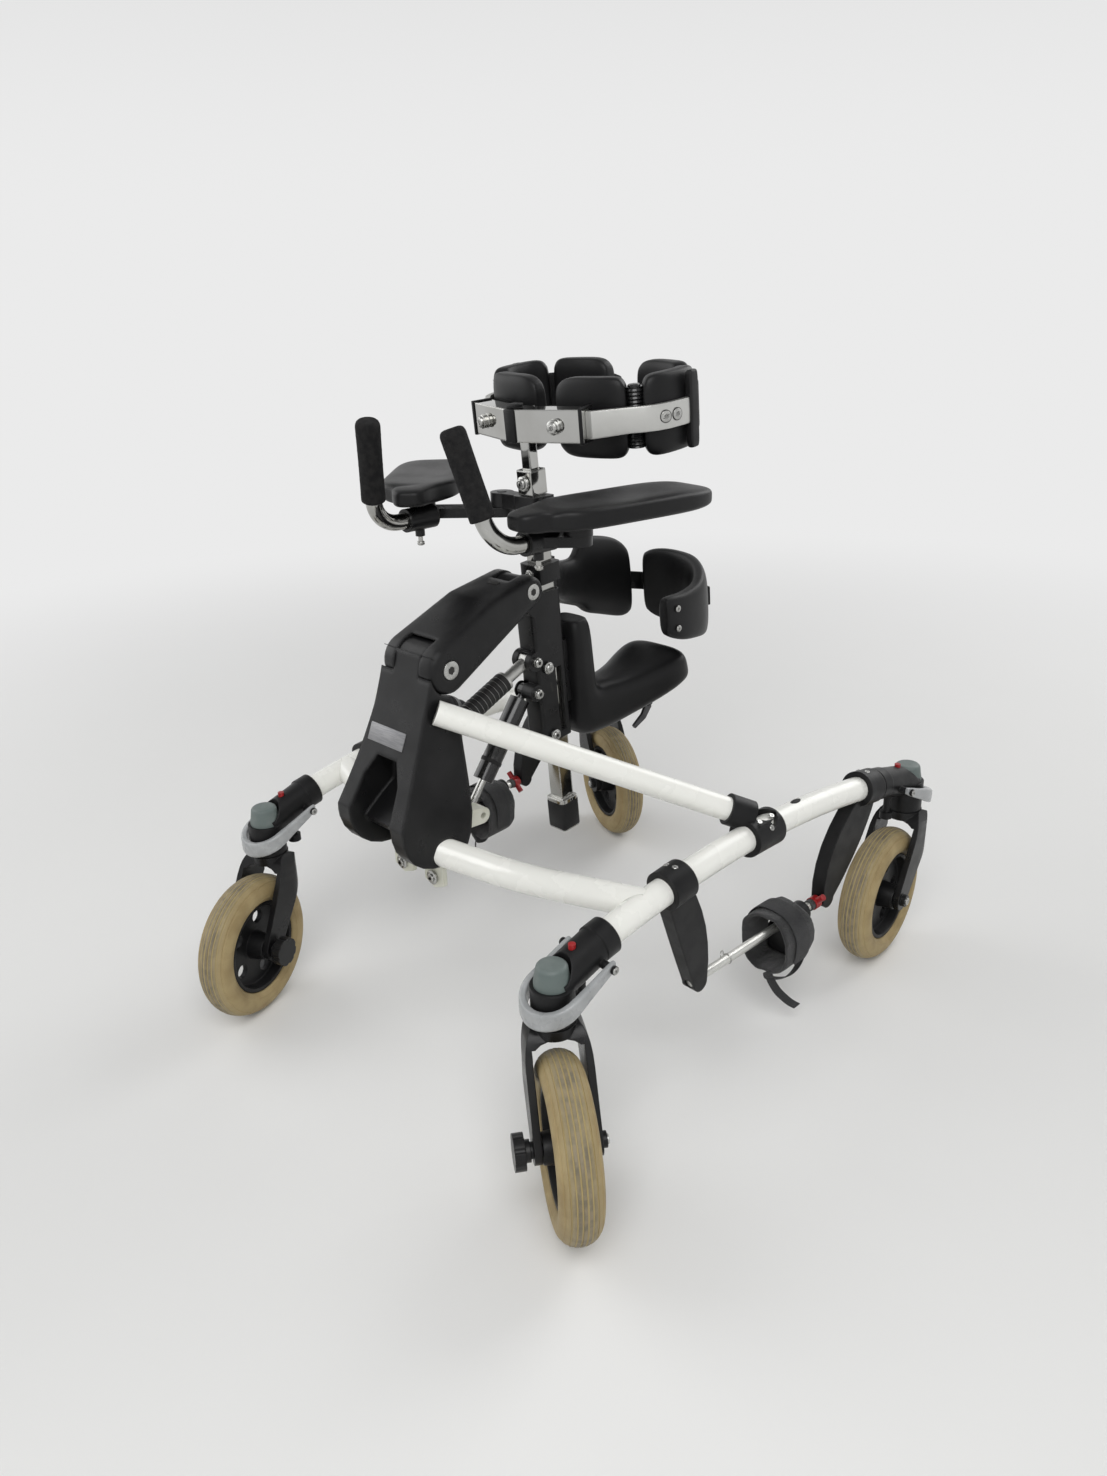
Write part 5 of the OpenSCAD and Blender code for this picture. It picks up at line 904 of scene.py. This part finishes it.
# fittings along a side rail: screws of the strut's clamp and of the horns' clamps, and an oval plug
rail = {"rise": 25, "radius": 1433.2, "middle": 348.7, "clampR": 24.2, "screw": (3.6, 1.4),
        "strutScrews": ((340, 26), (364, 26), (352, 58)), "horns": (("front", 192), ("rear", 593.4)),
        "hornScrews": (-24, 8), "plug": [(0.01, 0), (6, 0), (6, 0.8), (4.8, 1.6), (0.01, 1.8)],
        "plugOval": (0.7, 1.6, 1), "plugY": 430, "plugUp": 16.6}


def railMiddle(y):
    arch = math.sqrt(rail["radius"] ** 2 - (y - rail["middle"]) ** 2) - rail["radius"] + rail["rise"]
    return Vector((0, y, layout["railZ"] + arch))


def railScrew(name, i, y, lie):  # lie is its angle from the top of the rail, outwards
    out = Vector((math.sin(math.radians(lie)), 0, math.cos(math.radians(lie))))
    screw(name, alongRail(i) @ facing(railMiddle(y) + out * rail["clampR"], out), "frame", *rail["screw"])


def railFittings(i, side):
    for k, (y, lie) in enumerate(rail["strutScrews"]):
        railScrew("clampScrew%d_%s" % (k, side), i, y, lie)
    for horn, y in rail["horns"]:
        for k, lie in enumerate(rail["hornScrews"]):
            railScrew("hornScrew%d_%s_%s" % (k, horn, side), i, y, lie)
    plug = spun(rail["plug"], 24)
    bmesh.ops.scale(plug, vec=rail["plugOval"], verts=plug.verts[:])
    top = railMiddle(rail["plugY"]) + Vector((0, 0, rail["plugUp"]))
    newPiece("railPlug_" + side, plug, alongRail(i) @ Matrix.Translation(top), "bootRubber", "frame",
             "black_plastic")


# wire clip and grey sleeve on a guide rod
rod = {"clipY": 300, "clipR": 6.2, "clipWire": 1.1, "loopAt": (-4, 294, 154.6), "loopAim": (1, 0.4, 0.2),
       "loopR": 5.4, "loopWire": 0.0007, "sleeveY": 476,
       "sleeve": [(6.2, 0), (7.4, 0), (7.8, 0.8), (7.8, 8.2), (7.4, 9), (6.2, 9), (6.2, 0)]}


def rodFittings(i, side):
    wire = [(rod["clipR"] + rod["clipWire"] * math.cos(t * math.tau / 10),
             rod["clipWire"] * math.sin(t * math.tau / 10)) for t in range(11)]
    newPiece("rodClip_" + side, spun(wire, 36), onRod(i, rod["clipY"]), "zincSteel", "frame", "steel")
    circle = bmesh.new()
    bmesh.ops.create_circle(circle, segments=20, radius=rod["loopR"])
    loop = newPiece("rodClipLoop_" + side, circle, alongRail(i) @ facing(rod["loopAt"], rod["loopAim"]),
                    "zincSteel", "frame", "steel", sharp=0)
    loop.modifiers.new("wire", "SKIN")
    for v in loop.data.skin_vertices[0].data:
        v.radius = (rod["loopWire"], rod["loopWire"])
    rounder(loop)
    newPiece("rodSleeve_" + side, spun(rod["sleeve"], 32), onRod(i, rod["sleeveY"]), "greySleeve", "frame",
             "black_plastic")


# chest bracket: bolts, collars and the bars' flat screws, each with a ring of painted shade round it
vee = {"at": (0, -15, 511), "turn": 16, "boltAt": (58.3, -17.6, 0), "bolt": (6.6, 5.0, "chrome", 8.6),
       "collar": (5, 24.2, 38.2), "collarAt": (92, 0, 0), "wall": 0.0022, "edge": 0.0008,
       "barScrews": (-13.5, -4.5), "barOut": 21.2, "barScrew": (6.6, 1.3),
       "rim": [(6.0, 0), (7.5, 0), (7.5, 0.55), (6.0, 0.6)]}


def veeFittings(i, side):
    place = leaned(i) @ Matrix.Translation(vee["at"]) @ turn(vee["turn"], "Z")
    screw("veeBolt_" + side, place @ facing(vee["boltAt"], (0, -1, 0)), "chest_post", *vee["bolt"])
    tube = bmesh.new()
    bmesh.ops.create_cube(tube, size=1)
    bmesh.ops.scale(tube, vec=vee["collar"], verts=tube.verts[:])
    bmesh.ops.delete(tube, geom=[f for f in tube.faces if abs(f.normal.x) > 0.9], context="FACES")
    collar = newPiece("tubeCollar_" + side, tube, place @ Matrix.Translation(vee["collarAt"]),
                      "blackMoulding", "chest_post", "black_plastic")
    wall = collar.modifiers.new("wall", "SOLIDIFY")
    wall.thickness, wall.offset = vee["wall"], 1
    edge = collar.modifiers.new("edge", "BEVEL")
    edge.width, edge.segments = vee["edge"], 2
    for k, a in enumerate(vee["barScrews"]):
        flush = leaned(i) @ facing(chestRing(a, vee["barOut"]), chestOut(a))
        screw("barScrew%d_%s" % (k, side), flush, "chest_side_" + side, *vee["barScrew"])
        # a thin dark ring of painted shade under each screw's edge, where a groove's shadow would fall
        newPiece("barScrewRim%d_%s" % (k, side), spun(vee["rim"], 32), flush, "socketShadow",
                 "chest_side_" + side, "steel")


# clamp screw under a handle's socket
handle = {"at": (106, 172.49, 658), "stem": [(0.01, -12), (3.0, -12), (3.0, 0), (0.01, 0)], "nutR": 5.2,
          "nut": 4.5, "nutEdge": 0.5, "nutDown": -9}


def handleFittings(i, side):
    below = sideOf(i) @ Matrix.Translation(handle["at"])
    newPiece("handleScrew_" + side, spun(handle["stem"], 24), below, "chrome", "arm_carrier_" + side, "steel")
    nut = bmesh.new()
    bmesh.ops.create_cone(nut, cap_ends=True, segments=6, radius1=handle["nutR"], radius2=handle["nutR"],
                          depth=handle["nut"])
    bmesh.ops.bevel(nut, geom=nut.edges[:], offset=handle["nutEdge"], segments=1, profile=0.5, affect="EDGES",
                    material=-1)
    newPiece("handleNut_" + side, nut, below @ Matrix.Translation((0, 0, handle["nutDown"])), "chrome",
             "arm_carrier_" + side, "steel")


# bolts: name, place, aim, body, radius, height, finish and washer
sideBolts = [("towerPivot_", (46, 84, 536), (1, 0, 0), "frame", 11, 1.0),
             ("mastPivot_", (36, 229, 597), (1, 0, 0), "mast", 10, 1.0),
             ("tangBolt_", (30, 45, 273.6), (0, -1, 0), "frame", 5.4, 4.0, "zincSteel", 9.2)]
mastBolts = [("mastClampBolt0", (19.2, -19.9, 203.3), (1, 0, 0), "mast", 6.2, 4.0, "zincSteel", 8.0),
             ("mastClampBolt1", (19.2, -18.7, 105.9), (1, 0, 0), "mast", 6.0, 4.0, "zincSteel", 8.0),
             ("postBlockBolt", (0, -15.9, 440), (0, -1, 0), "seat_post", 6.6, 5.0, "chrome", 9.0),
             ("pelvicClampBolt", (0, -19.0, 326), (0, -1, 0), "pelvic_support", 4.6, 4.0, "chrome", 6.4)]
linkBolts = {"at": [(19.1, 249, 497), (19.1, 249, 454)], "screw": (6.0, 3.6)}
pelvicScrews = {"radius": 4.6, "strapAt": 4.75, "strapUp": -8, "strapIn": 2, "strapHigh": 2.2, "padAt": 10.55,
                "padUps": (-8, -36), "padHigh": 1.6}
cornerScrews = {"bailOut": 41.1, "bail": (4.4, 1.2), "axleOut": 42.8, "axle": (5.6, 2.4),
                "knobs": {"front_left": -1, "front_right": 1}}  # a drag knob in place of one axle bolt

for i, side in enumerate(layout["sides"]):
    railFittings(i, side)
    rodFittings(i, side)
    for name, at, aim, *make in sideBolts:
        screw(name + side, sideOf(i) @ facing(at, aim), *make)
    veeFittings(i, side)
    handleFittings(i, side)

for corner in wheels["swivels"]:
    for s, bail, axle in ((-1, "bailScrewIn_", "axleBoltA_"), (1, "bailScrewOut_", "axleBoltB_")):
        pivot = Vector(bails["pivot"]) + Vector((s * cornerScrews["bailOut"], 0, 0))
        screw(bail + corner, cornerRail(corner) @ facing(pivot, (s, 0, 0)), "frame", *cornerScrews["bail"])
        if s != cornerScrews["knobs"].get(corner):
            screw(axle + corner, axleOf(corner) @ facing((0, s * cornerScrews["axleOut"], 0), (0, s, 0)),
                  "caster_" + corner, *cornerScrews["axle"])

for name, at, aim, *make in mastBolts:
    screw(name, leaned() @ facing(at, aim), *make)
for k, at in enumerate(linkBolts["at"]):
    screw("mastLinkBolt%d" % k, drawing @ Matrix.Translation(at) @ turn(layout["lean"], "X")
          @ facing((0, 0, 0), (1, 0, 0)), "mast", *linkBolts["screw"])
p = pelvicScrews
inward = -pelvicOut(p["strapAt"])
on = pelvicPoint(p["strapAt"], p["strapUp"]) + inward * p["strapIn"]
screw("pelvicStrapScrew", leaned() @ facing(on, inward), "pelvic_support", p["radius"], p["strapHigh"],
      "chrome")
outward = pelvicOut(p["padAt"])
for k, up in enumerate(p["padUps"]):
    on = pelvicPoint(p["padAt"], up) - outward * (pelvic["off"] - pelvic["thick"])
    screw("pelvicPadScrew%d" % k, leaned() @ facing(on, outward), "pelvic_support", p["radius"], p["padHigh"],
          "chrome")
print("screws made")

# small parts
boot = {"at": (0, 104, 436), "along": (0, 145, 61), "radius": 13.5, "groove": 0.5, "ribs": 22, "from": 26,
        "long": 80, "foot": [(8.4, 22), (12.4, 22), (13.5, 24)],
        "end": [(13.5, 108), (12.4, 112), (8.4, 113.5)]}
gasCollar = {"at": (-9, 143, 318), "along": (0, 106, 136), "up": 66,
             "rows": [(13.5, 0), (14.2, 0.5), (14.2, 5), (13.5, 5.5)]}
bootRibs = [(boot["radius"] - boot["groove"] * (k % 2), boot["from"] + boot["long"] * k / boot["ribs"])
            for k in range(boot["ribs"] + 1)]
newPiece("linkBoot", spun(boot["foot"] + bootRibs + boot["end"], 36),
         drawing @ facing(boot["at"], Vector(boot["along"]).normalized()), "bootRubber", "lower_link",
         "black_plastic", sharp=60)
gasAxis = Vector(gasCollar["along"]).normalized()
newPiece("springCollar", spun(gasCollar["rows"], 36),
         drawing @ facing(Vector(gasCollar["at"]) + gasAxis * gasCollar["up"], gasAxis), "bootRubber",
         "gas_cylinder", "black_plastic")
plates = [("towerPlate", block((66, 22, 1.6), 0.7),
           drawing @ facing((-10, 25.4, 457), (0, -0.92, 0.4)) @ turn(180, "Z"), "blankPlate", "frame",
           "grey_alloy"),
          # a thin dark plate of painted shade on the upper arm, standing for the shadow inside its slot
          ("armSlotShade", block((17, 7, 1.2), 0.4), drawing @ facing((0, 197, 609.5), (0, -0.211, 0.977)),
           "socketShadow", "upper_arm", "black_plastic"),
          ("postFoot", block((33, 33, 46), 4.5, 3), leaned() @ Matrix.Translation((0, 0, -26)),
           "blackMoulding", "seat_post", "black_plastic"),
          ("veeTab", block((15, 15, 6), 1.2), leaned() @ Matrix.Translation((0, -16, 532.5)), "blackMoulding",
           "chest_post", "black_plastic"),
          ("veeNose", block((16, 7, 39), 1.6), leaned() @ Matrix.Translation((0, -25.4, 511)),
           "blackMoulding", "chest_post", "black_plastic")]
for plate in plates:
    newPiece(*plate)
print("small parts made")

# floor, light and camera
stage = {"floor": (0.80, 0.80, 0.79), "floorRough": 0.85, "wide": 30.0, "backdrop": (0.83, 0.83, 0.83),
         "fade": (0.9, 3.2), "ceiling": 0.42, "horizon": (0.06, 0.75), "skyLight": 0.62,
         "lens": 26.632, "sensor": 36, "camera": (980.05, -672.58, 942.47), "yaw": 45.469, "pitch": 22.462,
         "roll": -1.778, "lampAim": (0, 0, 0.4),
         "lamps": [("keyLamp", (1.6, -1.6, 2.6), 2.2, 62), ("fillLamp", (-2.4, -1.2, 1.9), 2.6, 30),
                   ("rimLamp", (0.4, 2.6, 2.3), 2.0, 34)]}


def seenDirectly(tree):  # 1 for the camera and for what metal and glass show, 0 for light on the object
    rays = tree.nodes.new("ShaderNodeLightPath")
    shown = product(tree, rays.outputs["Is Camera Ray"], rays.outputs["Is Glossy Ray"], "MAXIMUM")
    return product(tree, shown, rays.outputs["Is Transmission Ray"], "MAXIMUM")


def mixedSurface(tree, share, first, second, output):  # second where share is 1
    mix = tree.nodes.new("ShaderNodeMixShader")
    for k, socket in enumerate((share, first, second)):
        tree.links.new(socket, mix.inputs[k])
    tree.links.new(mix.outputs[0], tree.nodes[output].inputs["Surface"])


floorMesh = bmesh.new()
bmesh.ops.create_grid(floorMesh, x_segments=1, y_segments=1, size=stage["wide"])
floorData = bpy.data.meshes.new("studioFloor")
floorMesh.to_mesh(floorData)
floorMesh.free()
floor = bpy.data.objects.new("studioFloor", floorData)
scene.collection.objects.link(floor)
floorFinish, tree, shader, place = newFinish("paleFloor")
shade = blendColours(tree, noiseOn(tree, place, 3, 3), stage["floor"],
                     tuple(c * 0.97 for c in stage["floor"]))
tree.links.new(shade, shader.inputs["Base Color"])
setSockets(shader, {"Roughness": stage["floorRough"]})
reach = tree.nodes.new("ShaderNodeVectorMath")
reach.operation = "LENGTH"
tree.links.new(place, reach.inputs[0])
glow = tree.nodes.new("ShaderNodeEmission")
setSockets(glow, {"Color": (*stage["backdrop"], 1)})
far = product(tree, spread(tree, reach.outputs["Value"], *stage["fade"], 0, 1), seenDirectly(tree))
mixedSurface(tree, far, shader.outputs[0], glow.outputs[0], "Material Output")
floorData.materials.append(floorFinish)

world = bpy.data.worlds.new("studio")
scene.world = world
world.use_nodes = True
tree = world.node_tree
upward = tree.nodes.new("ShaderNodeSeparateXYZ")
tree.links.new(tree.nodes.new("ShaderNodeTexCoord").outputs["Generated"], upward.inputs[0])
sky = spread(tree, upward.outputs["Z"], *stage["horizon"], stage["backdrop"][0], stage["ceiling"])
lit, seenBack = tree.nodes["Background"], tree.nodes.new("ShaderNodeBackground")
for back, strength in ((lit, stage["skyLight"]), (seenBack, 1.0)):
    tree.links.new(sky, back.inputs["Color"])
    setSockets(back, {"Strength": strength})
mixedSurface(tree, seenDirectly(tree), lit.outputs[0], seenBack.outputs[0], "World Output")

for name, spot, size, power in stage["lamps"]:
    lamp = bpy.data.lights.new(name, "AREA")
    lamp.size, lamp.energy = size, power
    holder = bpy.data.objects.new(name, lamp)
    holder.location = spot
    holder.rotation_euler = (Vector(stage["lampAim"]) - Vector(spot)).to_track_quat("-Z", "Y").to_euler()
    scene.collection.objects.link(holder)

yaw, pitch, roll = (math.radians(stage[k]) for k in ("yaw", "pitch", "roll"))
ahead = Vector((-math.sin(yaw) * math.cos(pitch), math.cos(yaw) * math.cos(pitch), -math.sin(pitch)))
level = Vector((math.cos(yaw), math.sin(yaw), 0))
above = level.cross(ahead)
rightward = level * math.cos(roll) + above * math.sin(roll)
upright = above * math.cos(roll) - level * math.sin(roll)
lens = bpy.data.cameras.new("photoCamera")
lens.sensor_width, lens.lens, lens.sensor_fit = stage["sensor"], stage["lens"], "AUTO"
lens.clip_start, lens.clip_end = 0.02, 60
camera = bpy.data.objects.new("photoCamera", lens)
scene.collection.objects.link(camera)
pose = Matrix((rightward, upright, -ahead)).transposed().to_4x4()
pose.translation = drawing @ Vector(stage["camera"])
camera.matrix_world = pose
scene.camera = camera
scene.view_settings.view_transform = "Standard"
print("stage set")
